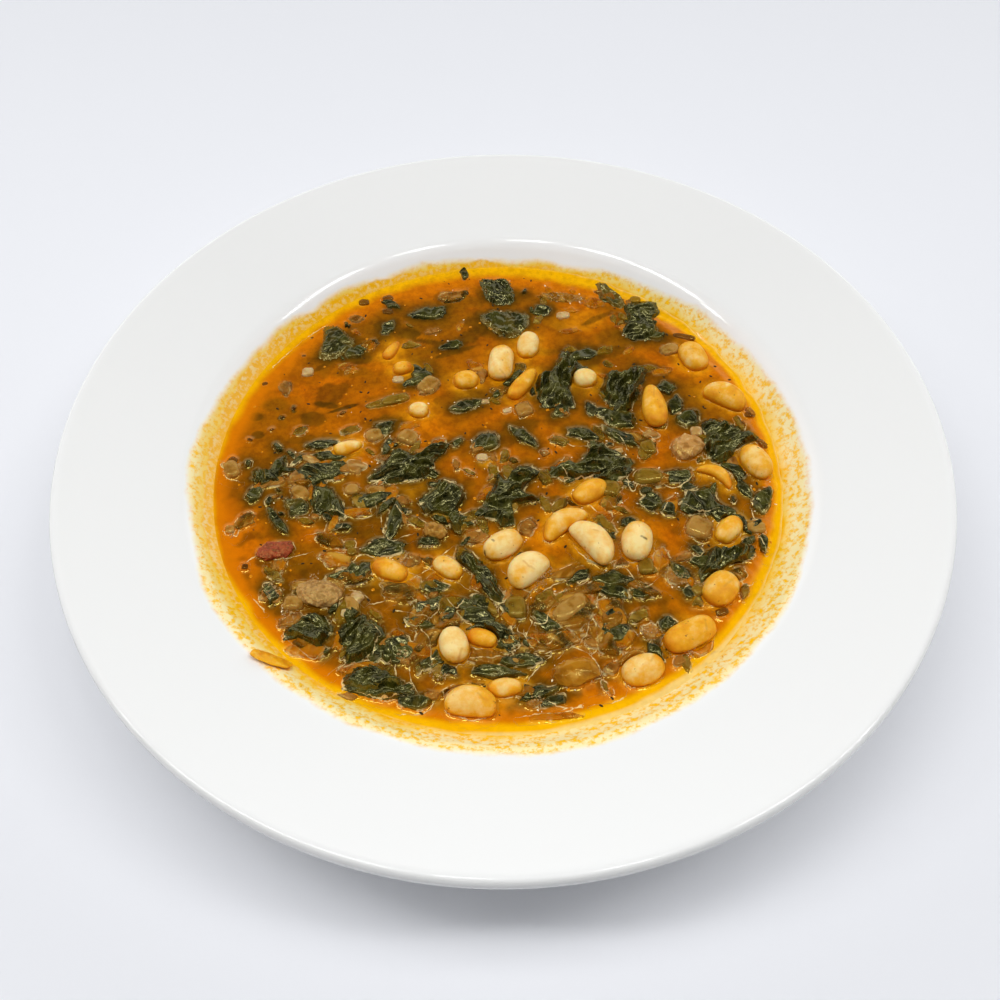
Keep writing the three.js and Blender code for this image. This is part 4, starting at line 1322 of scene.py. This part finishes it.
nuggets = {
    "cream": {
        "tones": ((232, 200, 142), (206, 160, 90), (246, 226, 180)),
        "spots": [
            (398, 380, 4, 3, 0), (507, 411, 3, 2, 20), (485, 402, 3, 2, 0), (619, 451, 3, 2, 10),
            (596, 482, 5, 3, 20), (563, 316, 5, 3.4, 10), (696, 432, 4, 4, 0), (357, 598, 4, 4, 40),
            (346, 614, 3.4, 3, 0), (340, 573, 3, 2.6, 0), (308, 373, 4, 4, 0), (545, 453, 2.6, 2.2, 0),
            (482, 458, 4, 3, 0), (610, 420, 2.4, 2, 0), (705, 560, 3, 2, 30), (372, 545, 2.6, 2, 0),
        ],
    },
    "onion": {
        "tones": ((198, 148, 68), (164, 112, 34), (226, 186, 116)),
        "spots": [
            (524, 410, 6, 6, 30), (352, 490, 5, 4, 0), (376, 491, 6, 3.4, 0), (232, 470, 5, 7, 20),
            (230, 530, 3, 3, 0), (513, 662, 3.6, 2.4, 0), (670, 350, 7, 5, 20), (374, 436, 6, 5, 20),
            (348, 446, 6, 4, 20), (293, 604, 6, 5, 0), (310, 596, 6, 5, 30), (330, 592, 5, 4, -20),
            (300, 586, 5, 3, 10), (408, 438, 7, 6, -30), (429, 386, 6, 8, -40), (301, 494, 7, 4.6, -50),
            (699, 529, 8, 8, 60), (570, 608, 6, 12, -50), (352, 604, 4, 6, 20), (756, 528, 6, 4, 0),
        ],
    },
    "olive": {
        "tones": ((152, 116, 30), (122, 88, 14), (180, 146, 66)),
        "spots": [
            (605, 524, 8, 3, -62), (648, 448, 5, 6, 20), (643, 456, 2.6, 4, 20), (648, 477, 9, 6, 5),
            (609, 489, 6.4, 7.4, 70), (516, 608, 6, 7.6, 10), (646, 567, 5, 6, 0), (606, 505, 3, 2.4, 0),
            (660, 426, 4, 3, 0), (635, 300, 4, 3, 0), (395, 400, 10, 4, 15), (545, 598, 6, 4, 30),
            (350, 545, 3.4, 3, 0), (352, 552, 3, 3, 0), (470, 612, 6, 3, 30), (700, 590, 5, 4, 20),
        ],
    },
    "brown": {
        "tones": ((116, 70, 20), (76, 44, 10), (156, 104, 44)),
        "spots": [
            (288, 386, 1.8, 1.2, 0), (265, 384, 2, 1.4, 20), (283, 418, 1.6, 1.1, 50),
            (294, 409, 1.8, 1.1, 80),
            (364, 303, 4, 3, 0), (388, 299, 4, 3, 20), (388, 312, 4, 2.6, 0), (684, 337, 8, 2.4, -15),
            (748, 415, 2.6, 2, 0), (741, 424, 2.6, 2, 0), (232, 462, 4, 3, 60), (245, 567, 2, 2, 0),
            (722, 612, 4, 2.4, 20), (408, 655, 3, 3, 0), (330, 355, 4, 3, 0), (304, 356, 1.4, 1.0, 0),
            (272, 430, 1.6, 1.0, 30), (250, 440, 2.0, 1.2, -20), (312, 338, 1.2, 0.8, 30),
            (660, 420, 4, 3, 0),
        ],
    },
}


def lumpsAt(spots, seed):
    # small uneven lumps half sunk in the broth
    rings = nuggetShape["rings"]
    around = np.linspace(0, 2 * math.pi, 2 * rings, endpoint=False)
    rise = np.linspace(-math.pi / 2, math.pi / 2, rings + 1)
    turn, lift = gridOf(around, rise)
    ball = np.stack([np.cos(lift) * np.cos(turn), np.cos(lift) * np.sin(turn), np.sin(lift)], 1)
    stride = rings + 1
    i, j = gridOf(np.arange(2 * rings), np.arange(rings))
    after = (i + 1) % (2 * rings)
    quads = np.stack([i * stride + j, after * stride + j, after * stride + j + 1, i * stride + j + 1], 1)
    power = nuggetShape["squareness"]
    square = 1 / np.maximum((np.abs(ball) ** power).sum(1) ** (1 / power), 0.1)
    parts = []
    for number, (column, row, length, width, heading) in enumerate(spots):
        middle = seenPoints((column, row), brothLevel)[0]
        bumps = hills(ball[:, 0] * 1.4 + ball[:, 2], ball[:, 1] * 1.4, seed + number)
        uneven = square * (1 + nuggetShape["uneven"] * bumps)
        sides = np.array([length, width, min(length, width) * nuggetShape["height"]])
        local = ball * uneven[:, None] * sides / 2
        angle = math.radians(heading)
        x = local[:, 0] * math.cos(angle) - local[:, 1] * math.sin(angle)
        y = local[:, 0] * math.sin(angle) + local[:, 1] * math.cos(angle)
        parts.append((np.stack([x, y, local[:, 2]], 1) + middle, quads, uneven))
    return joined(parts)[:2]


def makeSkins(name, material, spots, cells, height, seed, **settings):
    points, faces, own = ragged(spots, cells, height, seed, thickness=scraps["thickness"], **settings)
    piece = sheetObject(name, points, faces, own, material)
    setHighlightLineDistance(piece)
    served(piece, "onion")


def makeScraps():
    for seed, kind in enumerate(("olive", "tan", "amber")):
        look = skins[kind]
        spots = spotsSeen(look["spots"], look["height"] / 2)
        spots += spotsScattered(scraps["scattered"][kind], 21 + seed, (2.5, 9), 0.45, 7)
        material = tonedMaterial(
            kind + "Skin", look["tones"], scraps["grain"], scraps["rough"], look["clear"], sheets=True)
        makeSkins(kind + "Skins", material, spots, scraps["cells"], look["height"], 200 + 300 * seed,
                  curl=scraps["curl"])
    look = foldedSkins
    material = tonedMaterial(
        "foldedSkin", look["tones"], look["grain"], look["rough"], look["clear"], sheets=True)
    makeSkins("foldedSkins", material, spotsSeen(look["spots"], 0.6), look["cells"], look["height"], 900,
              curl=look["curl"], foldSize=look["foldSize"], crumples=look["crumples"])
    for seed, kind in enumerate(("cream", "onion", "brown", "olive")):
        points, faces = lumpsAt(nuggets[kind]["spots"], 500 + 40 * seed)
        material = tonedMaterial(kind + "Lump", nuggets[kind]["tones"], **nuggetLook)
        served(meshObject(kind + "Lumps", points, faces.tolist(), material), "onion")
    print("skins and lumps made")


makeScraps()


# The broth: a level sheet that climbs a little at every piece and at the wall, over its own body

broth = {
    "cells": 296,
    "reach": 95.1,
    "skirtSteps": 4,
    "wallGap": 0.35,
    "climb": 0.15,
    "climbReach": 1.2,
    "wallClimb": 0.45,
    "wallClimbReach": 0.9,
    "duck": 0.12,
    "sharpFrom": 70,
    "meniscus": 0.46,
    "meniscusReach": 0.8,
    "coverCell": 0.5,
    "amber": (208, 106, 0),
    "bright": (234, 130, 0),
    "murkAndShade": (144, 88, 2),
    "shade": (66, 46, 2),
    "glow": (242, 164, 14),
    "wallTone": (220, 122, 0),
    "edgeTone": (255, 188, 0),
    "pale": (252, 214, 124),
    "edgeFall": 7.0,
    "levelFrom": 0.55,
    "cloudTint": (0.72, 0.66, 0.6, 1),
    "paintedRimHighlight": 0.8,
    "ripple": 4,
    "rippleDepth": 0.14,
    "finish": {
        "Roughness": 0.05, "IOR": 1.47, "Specular IOR Level": 1.0, "Specular Tint": (1, 0.8, 0.18, 1),
    },
    "blur": 0.32,
    "sharpBlur": 0.16,
    # what lies sunk: where it is seen, half length, half width, heading, tone, strength
    "sunk": [
        (331, 394, 8, 5, 35, "shade", 0.6), (361, 358, 4, 4, 0, "shade", 0.8),
        (550, 500, 5, 2, 0, "shade", 0.7), (756, 525, 5, 3, 0, "shade", 0.5),
        (405, 492, 4, 3, 0, "glow", 0.7), (487, 461, 4, 3, 20, "glow", 0.8),
        (386, 401, 9, 4, 20, "murkAndShade", 0.6), (300, 360, 22, 14, 30, "murkAndShade", 0.5),
        (270, 430, 12, 20, 0, "murkAndShade", 0.45), (420, 320, 30, 10, 0, "murkAndShade", 0.5),
        (540, 330, 30, 10, 0, "murkAndShade", 0.3), (675, 597, 14, 7, 10, "bright", 0.8),
        (430, 430, 16, 12, 0, "bright", 0.4), (470, 400, 6, 6, 0, "shade", 0.4),
        (350, 600, 24, 14, 0, "murkAndShade", 0.5), (560, 630, 30, 16, 0, "murkAndShade", 0.55),
        (400, 690, 24, 9, 0, "murkAndShade", 0.4), (620, 380, 16, 12, 0, "shade", 0.4),
        (700, 400, 14, 12, 0, "murkAndShade", 0.5), (300, 520, 14, 9, 0, "bright", 0.3),
        (590, 435, 12, 5, 0, "glow", 0.4), (530, 540, 14, 8, 0, "bright", 0.4),
        (575, 320, 12, 6, 0, "glow", 0.35), (470, 300, 14, 4, 0, "bright", 0.4),
        (350, 300, 14, 6, 30, "glow", 0.35), (660, 660, 14, 6, 40, "bright", 0.6),
        (560, 705, 22, 4, 5, "bright", 0.6), (300, 558, 14, 6, 0, "murkAndShade", 0.7),
        (440, 281, 12, 3, 5, "edgeTone", 0.6), (405, 290, 7, 3, 10, "edgeTone", 0.6),
        (365, 300, 7, 3, 20, "edgeTone", 0.6), (520, 279, 9, 3, 0, "edgeTone", 0.6),
        (560, 290, 8, 3, 0, "wallTone", 0.6), (590, 292, 6, 4, -10, "edgeTone", 0.6),
        (311, 328, 5, 4, 30, "edgeTone", 0.9), (420, 490, 8, 5, 10, "glow", 0.6),
        (585, 545, 5, 8, 30, "glow", 0.7), (562, 572, 9, 4, 30, "glow", 0.5),
        (395, 578, 12, 5, -35, "glow", 0.7), (340, 490, 5, 5, 0, "glow", 0.3),
        (480, 600, 60, 16, 0, "murkAndShade", 0.4), (720, 480, 16, 22, 0, "murkAndShade", 0.3),
        (470, 500, 30, 12, 0, "murkAndShade", 0.4), (350, 500, 24, 14, 0, "murkAndShade", 0.45),
        (444, 295, 4, 3.5, 0, "shade", 0.75), (470, 336, 8, 3.5, 35, "shade", 0.6),
        (462, 302, 9, 4, 0, "murkAndShade", 0.7), (430, 324, 10, 6, 0, "murkAndShade", 0.7),
        (500, 322, 14, 8, 0, "shade", 0.6), (545, 309, 5, 4.6, 0, "shade", 0.6),
        (585, 355, 9, 6, 0, "shade", 0.7), (618, 340, 9, 7, 0, "murkAndShade", 0.8),
        (420, 375, 9, 8, 0, "shade", 0.5), (466, 400, 11, 6, 0, "shade", 0.5),
        (517, 432, 9, 5, 30, "shade", 0.6), (610, 300, 9, 5, -20, "murkAndShade", 0.8),
        (640, 320, 9, 10, 0, "shade", 0.6), (560, 297, 14, 4, 0, "murkAndShade", 0.5),
        (400, 345, 18, 9, 0, "murkAndShade", 0.5), (450, 360, 20, 9, 0, "murkAndShade", 0.4),
        (380, 330, 8, 9, 0, "murkAndShade", 0.6), (340, 345, 9, 8, 0, "shade", 0.5),
        (498, 290, 10, 7, 0, "shade", 0.5), (560, 385, 13, 11, 40, "shade", 0.6),
        (380, 520, 16, 12, 0, "shade", 0.45), (270, 480, 10, 10, 0, "shade", 0.35),
        (300, 590, 14, 10, 0, "shade", 0.4), (440, 540, 8, 6, 0, "shade", 0.3),
        (365, 590, 9, 8, 0, "shade", 0.35), (735, 545, 14, 10, 0, "shade", 0.35),
        (367, 344, 8, 1.3, 25, "shade", 0.8), (256, 417, 3, 2, 0, "shade", 0.6),
        (259, 435, 2.4, 2, 0, "shade", 0.7), (265, 383, 1.8, 1.6, 0, "shade", 0.9),
        (294, 409, 0.9, 2.2, 10, "shade", 0.9), (313, 419, 5, 3.4, 0, "shade", 0.6),
        (326, 405, 5, 1.6, -10, "shade", 0.7), (345, 408, 6, 1.0, 20, "shade", 0.8),
        (281, 418, 1.6, 1.2, 0, "shade", 0.9), (430, 342, 8, 1.2, -10, "shade", 0.7),
        (455, 352, 9, 1.2, 20, "shade", 0.7), (409, 334, 5, 3, 0, "shade", 0.8),
        (384, 326, 4, 3, 0, "shade", 0.7), (388, 300, 4, 3.4, 0, "shade", 0.7),
        (388, 424, 6, 4, 0, "shade", 0.7), (441, 447, 6, 4, 0, "shade", 0.6),
        (320, 368, 5, 1.2, 40, "shade", 0.5), (352, 372, 7, 3, 0, "murkAndShade", 0.7),
        (300, 440, 6, 2, 10, "shade", 0.5), (275, 405, 5, 3, 0, "murkAndShade", 0.7),
        (598, 318, 8, 1.4, 30, "shade", 0.6), (672, 340, 7, 3, -20, "shade", 0.6),
        (655, 372, 6, 4, 0, "shade", 0.6), (720, 396, 5, 3, 0, "murkAndShade", 0.6),
        (540, 352, 7, 2, 0, "murkAndShade", 0.7), (610, 352, 7, 3, 10, "shade", 0.5),
    ],
}


def meshLines(piece):
    # the numbers of the two points of each edge
    pairs = np.empty(len(piece.data.edges) * 2, int)
    piece.data.edges.foreach_get("vertices", pairs)
    return pairs.reshape(-1, 2)


def waterline(pieces, level):
    # where the edges of the pieces pass through a level, seen from above
    found = []
    for piece in pieces:
        points = pointsOf(piece)
        a, b = (points[side] for side in meshLines(piece).T)
        crossing = (a[:, 2] - level) * (b[:, 2] - level) < 0
        a, b = a[crossing], b[crossing]
        share = ((level - a[:, 2]) / (b[:, 2] - a[:, 2]))[:, None]
        found.append((a + share * (b - a))[:, :2])
    return np.vstack(found)


def distancesTo(spots, x, y):
    tree = treeOf(spots)
    return np.array([tree.find((px, py, 0))[2] for px, py in zip(x.tolist(), y.tolist())])


def coverOf(pieces, x, y, cell):
    # the highest point of the pieces near each place
    half = 110
    count = int(2 * half / cell)
    field = np.full((count, count), -1e3)
    for piece in pieces:
        points = pointsOf(piece)
        a, b = (points[side] for side in meshLines(piece).T)
        for share in (0, 0.5):
            spot = a + share * (b - a)
            i = ((spot[:, 0] + half) / cell).astype(int)
            j = ((spot[:, 1] + half) / cell).astype(int)
            np.maximum.at(field, (i, j), spot[:, 2])
    return field[((x + half) / cell).astype(int), ((y + half) / cell).astype(int)]


def mixed(colours, tone, share):
    # the colours, turned by a share at each point to one of the broth's tones
    share = np.clip(share, 0, 1)[:, None]
    return colours + share * (np.array(linearColour(*broth[tone])) - colours)


def brothColours(x, y, beanDistance, leafDistance):
    # broad drifts of tone, what lies sunk, the painted shade by leaves, the painted glow of light by beans,
    # and the thin edge
    radius = np.hypot(x, y)
    colours = np.tile(linearColour(*broth["amber"]), (len(x), 1))
    wide = hills(x / 22, y / 22, 31) * 0.5 + hills(x / 9, y / 9, 32) * 0.35
    colours = mixed(colours, "bright", 0.35 + 0.6 * wide)
    colours = mixed(colours, "murkAndShade", 0.1 - 0.7 * hills(x / 15, y / 15, 35))
    for column, row, long, wide, heading, tone, strength in broth["sunk"]:
        place = seenPoints((column, row), brothLevel)[0]
        angle = math.radians(heading)
        along = (x - place[0]) * math.cos(angle) + (y - place[1]) * math.sin(angle)
        across = (y - place[1]) * math.cos(angle) - (x - place[0]) * math.sin(angle)
        away = np.hypot(along / long, across / wide) + 0.25 * hills(x / 4, y / 4, column)
        away += 0.12 * hills(x / 1.6, y / 1.6, row)
        blur = broth["sharpBlur"] if tone == "shade" else broth["blur"]
        colours = mixed(colours, tone, strength * (1 - soften(away, 0.93 - blur, 0.93 + blur)))
    lower = 1 - soften(y, -45, 30)
    colours = mixed(colours, "shade", (0.2 + 0.35 * lower) * soften(hills(x / 5, y / 5, 36), 0.05, 0.5))
    # painted shade round the leaves, a wide murky halo and a narrow dark one, partly the leaves' sunk edges
    # seen through the broth
    colours = mixed(colours, "murkAndShade", 0.8 * np.exp(-leafDistance / 4.5))
    colours = mixed(colours, "shade", 0.9 * np.exp(-leafDistance / 2))
    # painted light: a brighter glow round the beans, for the light they scatter into the broth
    patchy = np.clip(0.8 + hills(x / 5, y / 5, 37), 0.3, 1)
    colours = mixed(colours, "glow", 0.9 * patchy * np.exp(-(beanDistance / 2.6) ** 1.5))
    inward = liquidEnds(x, y) - radius + 0.8 * hills(x / 9, y / 9, 33)
    inward /= 1 + 0.8 * soften(y - 0.35 * x, 20, 80)
    colours = mixed(colours, "wallTone", 1 - soften(inward, 4.2, 8.5))
    colours = mixed(colours, "edgeTone", 1 - soften(inward, 1.6, 4.2))
    colours = mixed(colours, "pale", soften(radius - liquidEnds(x, y), -0.6, 0.4))
    # the last value says how mottled the broth is
    colours[:, 3] = 1 - (0.75 - 0.4 * soften(y, 20, 80)) * soften(radius, 84, 91)
    return colours


def liquidEnds(x, y):
    # how far out the broth reaches on the wall, on the way to each place
    toward = np.cos(np.arctan2(y, x) - math.radians(stain["liquidToward"]))
    return stain["liquidEdge"] + stain["liquidSway"] * toward + 0.5 * hills(x / 7, y / 7, 38)


def brothMaterial():
    material, tree, shader, coords = newMaterial("amberBroth", broth["finish"])
    # cloudy and gritty inside
    cloud = patchesOf(tree, coords, 2.4, 5, 0.62, 0.34, 0.65)
    grit = patchesOf(tree, coords, 1.1, 3, 0.64, 0.72, 0.6)
    cloud = maths(tree, "MAXIMUM", cloud, times(tree, grit, 1.6))
    inputs = {
        0: times(tree, cloud, attributeOf(tree, "tint", "Alpha")),
        6: attributeOf(tree, "tint", "Color"),
        7: broth["cloudTint"],
    }
    colour = put(tree, "ShaderNodeMix", inputs, data_type="RGBA", blend_type="MULTIPLY").outputs[2]
    # a painted highlight: a pale broken rim where it meets the food, fainter towards the back
    shore, climbAndRimHighlight = attributeOf(tree, "shore"), attributeOf(tree, "climbAndRimHighlight")
    rim = times(tree, rangeOf(tree, shore, 0.0, 0.14), rangeOf(tree, shore, 0.46, 0.26))
    rim = times(tree, rim, patchesOf(tree, coords, 3.4, 3, 0.49, 0.63))
    rim = times(tree, times(tree, rim, climbAndRimHighlight), broth["paintedRimHighlight"])
    colour = blendColours(tree, rim, colour, linearColour(*paintedHighlightLines["colour"]))
    colour, line = paintedHighlightLine(tree, coords, colour)
    tree.links.new(colour, shader.inputs["Base Color"])
    # it climbs at the food, and ripples
    away = maths(tree, "MAXIMUM", shore, 0.0)
    climbed = maths(tree, "EXPONENT", times(tree, away, -1 / broth["meniscusReach"]))
    climbed = times(tree, climbed, times(tree, climbAndRimHighlight, broth["meniscus"]))
    ripple = times(tree, noiseOf(tree, coords, broth["ripple"], 2), broth["rippleDepth"])
    ripple = plus(tree, ripple, times(tree, line, paintedHighlightLines["ridge"]))
    bumpTo(tree, shader, plus(tree, climbed, ripple), 1.0)
    return material


def brothHeight(x, y, reach, turn, shore, cover):
    # climbs at the food and at the wall, and ducks under what lies over it
    b = broth
    rise = b["climb"] * np.exp(-shore / b["climbReach"])
    ends = np.minimum(liquidEnds(x, y) - 0.3, b["reach"])
    short = np.maximum(ends - reach * b["reach"], 0)
    rise += b["wallClimb"] * np.exp(-short / b["wallClimbReach"])
    wall = wellLine(30)
    fall = brothLevel - np.minimum(np.interp(ends, wall[:, 0], wall[:, 1]), brothLevel)
    fall *= 1 - soften(-np.sin(turn), b["levelFrom"], 0.9)
    z = brothLevel + rise - fall * (1 - soften(short, 0, b["edgeFall"]))
    return np.where(cover > brothLevel + 0.1, np.minimum(z, cover - b["duck"]), z)


def brothBody(top, quads, loop, turns):
    # closes the sheet with rings down the wall, a gap inside the china, and a point under its middle
    gap = broth["wallGap"]
    outline = wellLine(broth["skirtSteps"])
    under = outline[outline[:, 1] < brothLevel - 2][::-1] + np.array([-gap, gap])
    rings = [np.stack([r * np.cos(turns), r * np.sin(turns), turns * 0 + h], 1) for r, h in under]
    points = np.vstack([top] + rings + [[[0, 0, under[-1][1]]]])
    faces = quads.tolist()
    before = loop
    for i in range(len(rings)):
        after = len(top) + i * len(loop) + np.arange(len(loop))
        faces += np.stack([before, after, np.roll(after, -1), np.roll(before, -1)], 1).tolist()
        before = after
    faces += [(int(a), len(points) - 1, int(c)) for a, c in zip(before, np.roll(before, -1))]
    return points, faces


def makeBroth():
    reach, turn, quads, loop = discGrid(broth["cells"])
    x, y = reach * broth["reach"] * np.cos(turn), reach * broth["reach"] * np.sin(turn)
    shore = distancesTo(waterline(food, brothLevel + 0.2), x, y)
    rounded = [piece for piece in food if piece.name.startswith("smoothBean")]
    green = [piece for piece in food if piece.name.startswith(("wetLeaf", "leafShreds"))]
    beanShore = distancesTo(waterline(rounded, brothLevel - 0.5), x, y)
    leafShore = distancesTo(waterline(green, brothLevel + 0.1), x, y)
    cover = coverOf(food, x, y, broth["coverCell"])
    z = brothHeight(x, y, reach, turn, shore, cover)
    points, faces = brothBody(np.stack([x, y, z], 1), quads, loop, turn[loop])
    piece = meshObject("amberBroth", points, faces, brothMaterial())
    piece.data.set_sharp_from_angle(angle=math.radians(broth["sharpFrom"]))
    count = len(x)
    tint = np.tile(linearColour(*broth["amber"]), (len(points), 1))
    tint[:count] = brothColours(x, y, beanShore, leafShore)
    setAttribute(piece, "tint", tint, "FLOAT_COLOR")
    signed = np.full(len(points), 9.0)
    signed[:count] = np.where(cover > brothLevel + 0.2, -shore, shore)
    setAttribute(piece, "shore", signed)
    # how far the broth climbs at the food and how strong its painted rim highlight is, both less towards the
    # back
    climbAndRimHighlight = np.ones(len(points))
    climbAndRimHighlight[:count] = 1 - 0.9 * soften(y + 6 * hills(x / 12, y / 12, 39), 0, 42)
    setAttribute(piece, "climbAndRimHighlight", climbAndRimHighlight)
    setHighlightLineDistance(piece)
    onBody(piece, "broth", "broth")
    print("broth made", len(faces), "highest", round(float(z.max()), 2))
    return x, y, z, shore


brothX, brothY, brothZ, brothShore = makeBroth()


# Flecks, oil droplets, painted glints and foam, strewn over the broth by Geometry Nodes

strewn = {
    "flecks": {
        "density": 0.022, "seed": 3, "size": (0.5, 1.5), "shape": (1.0, 0.5, 0.22), "lift": 0.06,
        "slot": "leaf", "material": "fleck",
        "finish": {"Base Color": linearColour(46, 36, 8), "Roughness": 0.5, "Specular IOR Level": 0.2},
    },
    "droplets": {
        "density": 0.02, "seed": 5, "size": (0.4, 1.3), "shape": (1.0, 0.9, 0.14), "lift": 0.02,
        "slot": "broth", "material": "oilDroplet",
        "finish": {
            "Base Color": linearColour(216, 132, 8), "Roughness": 0.05, "IOR": 1.47,
            "Specular Tint": (1, 0.7, 0.2, 1),
        },
    },
    # painted highlights: small pale blobs by the food that stand for glints
    "paintedGlints": {
        "density": 0.18, "seed": 12, "size": (0.3, 0.9), "shape": (1.0, 0.6, 0.3), "lift": 0.04,
        "slot": "broth", "material": "paintedGlint",
        "finish": {"Base Color": linearColour(255, 236, 192), "Roughness": 0.1, "IOR": 1.45},
    },
    "foam": {
        "density": 1.5, "seed": 8, "size": (0.25, 0.85), "shape": (1.0, 1.0, 0.6), "lift": 0.02,
        "slot": "broth", "material": "froth",
        "finish": {
            "Base Color": linearColour(216, 176, 112), "Roughness": 0.12, "IOR": 1.4,
            "Specular IOR Level": 1.0, "Alpha": 0.34,
        },
    },
}

strewnReach = 91  # flecks, droplets and glints stay inside this radius
foamHighest = 1.6  # how far over the broth foam still sits on food

foamSpots = [  # where foam is seen, and its radius in millimetres
    (650, 632, 3.4), (405, 558, 3), (315, 575, 2), (272, 592, 3), (288, 617, 3.2), (677, 577, 3.4),
    (534, 702, 2), (556, 297, 3), (580, 300, 2), (450, 560, 1.6), (404, 655, 2), (690, 655, 2),
    (541, 582, 2), (550, 574, 1.8), (700, 585, 1.6), (640, 585, 1.6), (433, 672, 2), (442, 676, 1.6),
    (232, 536, 1.4), (660, 556, 1.4),
]


def strewTree(name, material, look):
    # strews turned drops of many sizes over a sheet, as densely as its share says
    tree, inputs = newTree(
        name, Density="Float", Smallest="Float", Largest="Float", Lift="Float", Seed="Int")
    seed = inputs["Seed"]
    share = put(tree, "GeometryNodeInputNamedAttribute", {"Name": "share"}, data_type="FLOAT")
    density = times(tree, share.outputs["Attribute"], inputs["Density"])
    ground = {"Mesh": inputs["Geometry"], "Density": density, "Seed": seed}
    spots = put(tree, "GeometryNodeDistributePointsOnFaces", ground).outputs["Points"]
    ball = put(tree, "GeometryNodeMeshIcoSphere", {"Radius": 0.5 * mm, "Subdivisions": 2}).outputs[0]
    drop = put(tree, "GeometryNodeTransform", {"Geometry": ball, "Scale": look["shape"]}).outputs[0]
    sizes = {2: inputs["Smallest"], 3: inputs["Largest"], "Seed": seed}
    size = put(tree, "FunctionNodeRandomValue", sizes, data_type="FLOAT").outputs[1]
    turns = {0: (-0.2, -0.2, 0), 1: (0.2, 0.2, 6.28), "Seed": seed}
    turn = put(tree, "FunctionNodeRandomValue", turns, data_type="FLOAT_VECTOR").outputs[0]
    drops = {"Points": spots, "Instance": drop, "Rotation": turn, "Scale": size}
    placed = put(tree, "GeometryNodeInstanceOnPoints", drops).outputs[0]
    lift = put(tree, "ShaderNodeCombineXYZ", {"Z": inputs["Lift"]}).outputs[0]
    lifted = put(tree, "GeometryNodeSetPosition", {"Geometry": placed, "Offset": lift}).outputs[0]
    endTree(tree, lifted, material)
    return tree


def strew(kind, share):
    look = strewn[kind]
    quads = discGrid(broth["cells"])[2]
    free = share[quads].max(1) > 0
    height = brothZ
    if kind == "foam":
        cover = coverOf(food, brothX, brothY, broth["coverCell"])
        height = np.maximum(brothZ, np.minimum(cover, brothZ + foamHighest))
    else:
        free &= brothShore[quads].min(1) > 0.2
    material = newMaterial(look["material"], look["finish"])[0]
    points = np.stack([brothX, brothY, height], 1)
    holder = meshObject(kind + "Ground", points, quads[free].tolist(), material)
    setAttribute(holder, "share", share)
    values = {"Density": look["density"] / mm ** 2, "Smallest": look["size"][0],
              "Largest": look["size"][1], "Lift": look["lift"] * mm, "Seed": look["seed"]}
    piece = appliedNodes(kind, holder, strewTree(kind + "Strewn", material, look), values)
    piece.data.shade_smooth()
    onBody(piece, look["slot"])
    print(kind, "made", len(piece.data.polygons))


def foamShare(x, y):
    share = x * 0
    for column, row, radius in foamSpots:
        place = seenPoints((column, row), brothLevel)[0]
        away = np.hypot(x - place[0], y - place[1]) / radius + 0.4 * hills(x / 1.5, y / 1.5, column)
        share = np.maximum(share, 1 - soften(away, 0.5, 1.2))
    return share


def strewAll():
    # in patches, and the painted glints only near food
    x, y = brothX, brothY
    inside = np.hypot(x, y) < strewnReach
    near = (1 - soften(brothShore, 0.5, 1.6)) * (1 - 0.5 * soften(y, 10, 60))
    strew("flecks", inside * np.clip(0.5 + hills(x / 9, y / 9, 70), 0, 1))
    strew("droplets", inside * np.clip(0.3 + hills(x / 12, y / 12, 71), 0, 1))
    strew("paintedGlints", inside * near * np.clip(0.2 + hills(x / 5, y / 5, 72), 0, 1))
    strew("foam", foamShare(x, y))


strewAll()
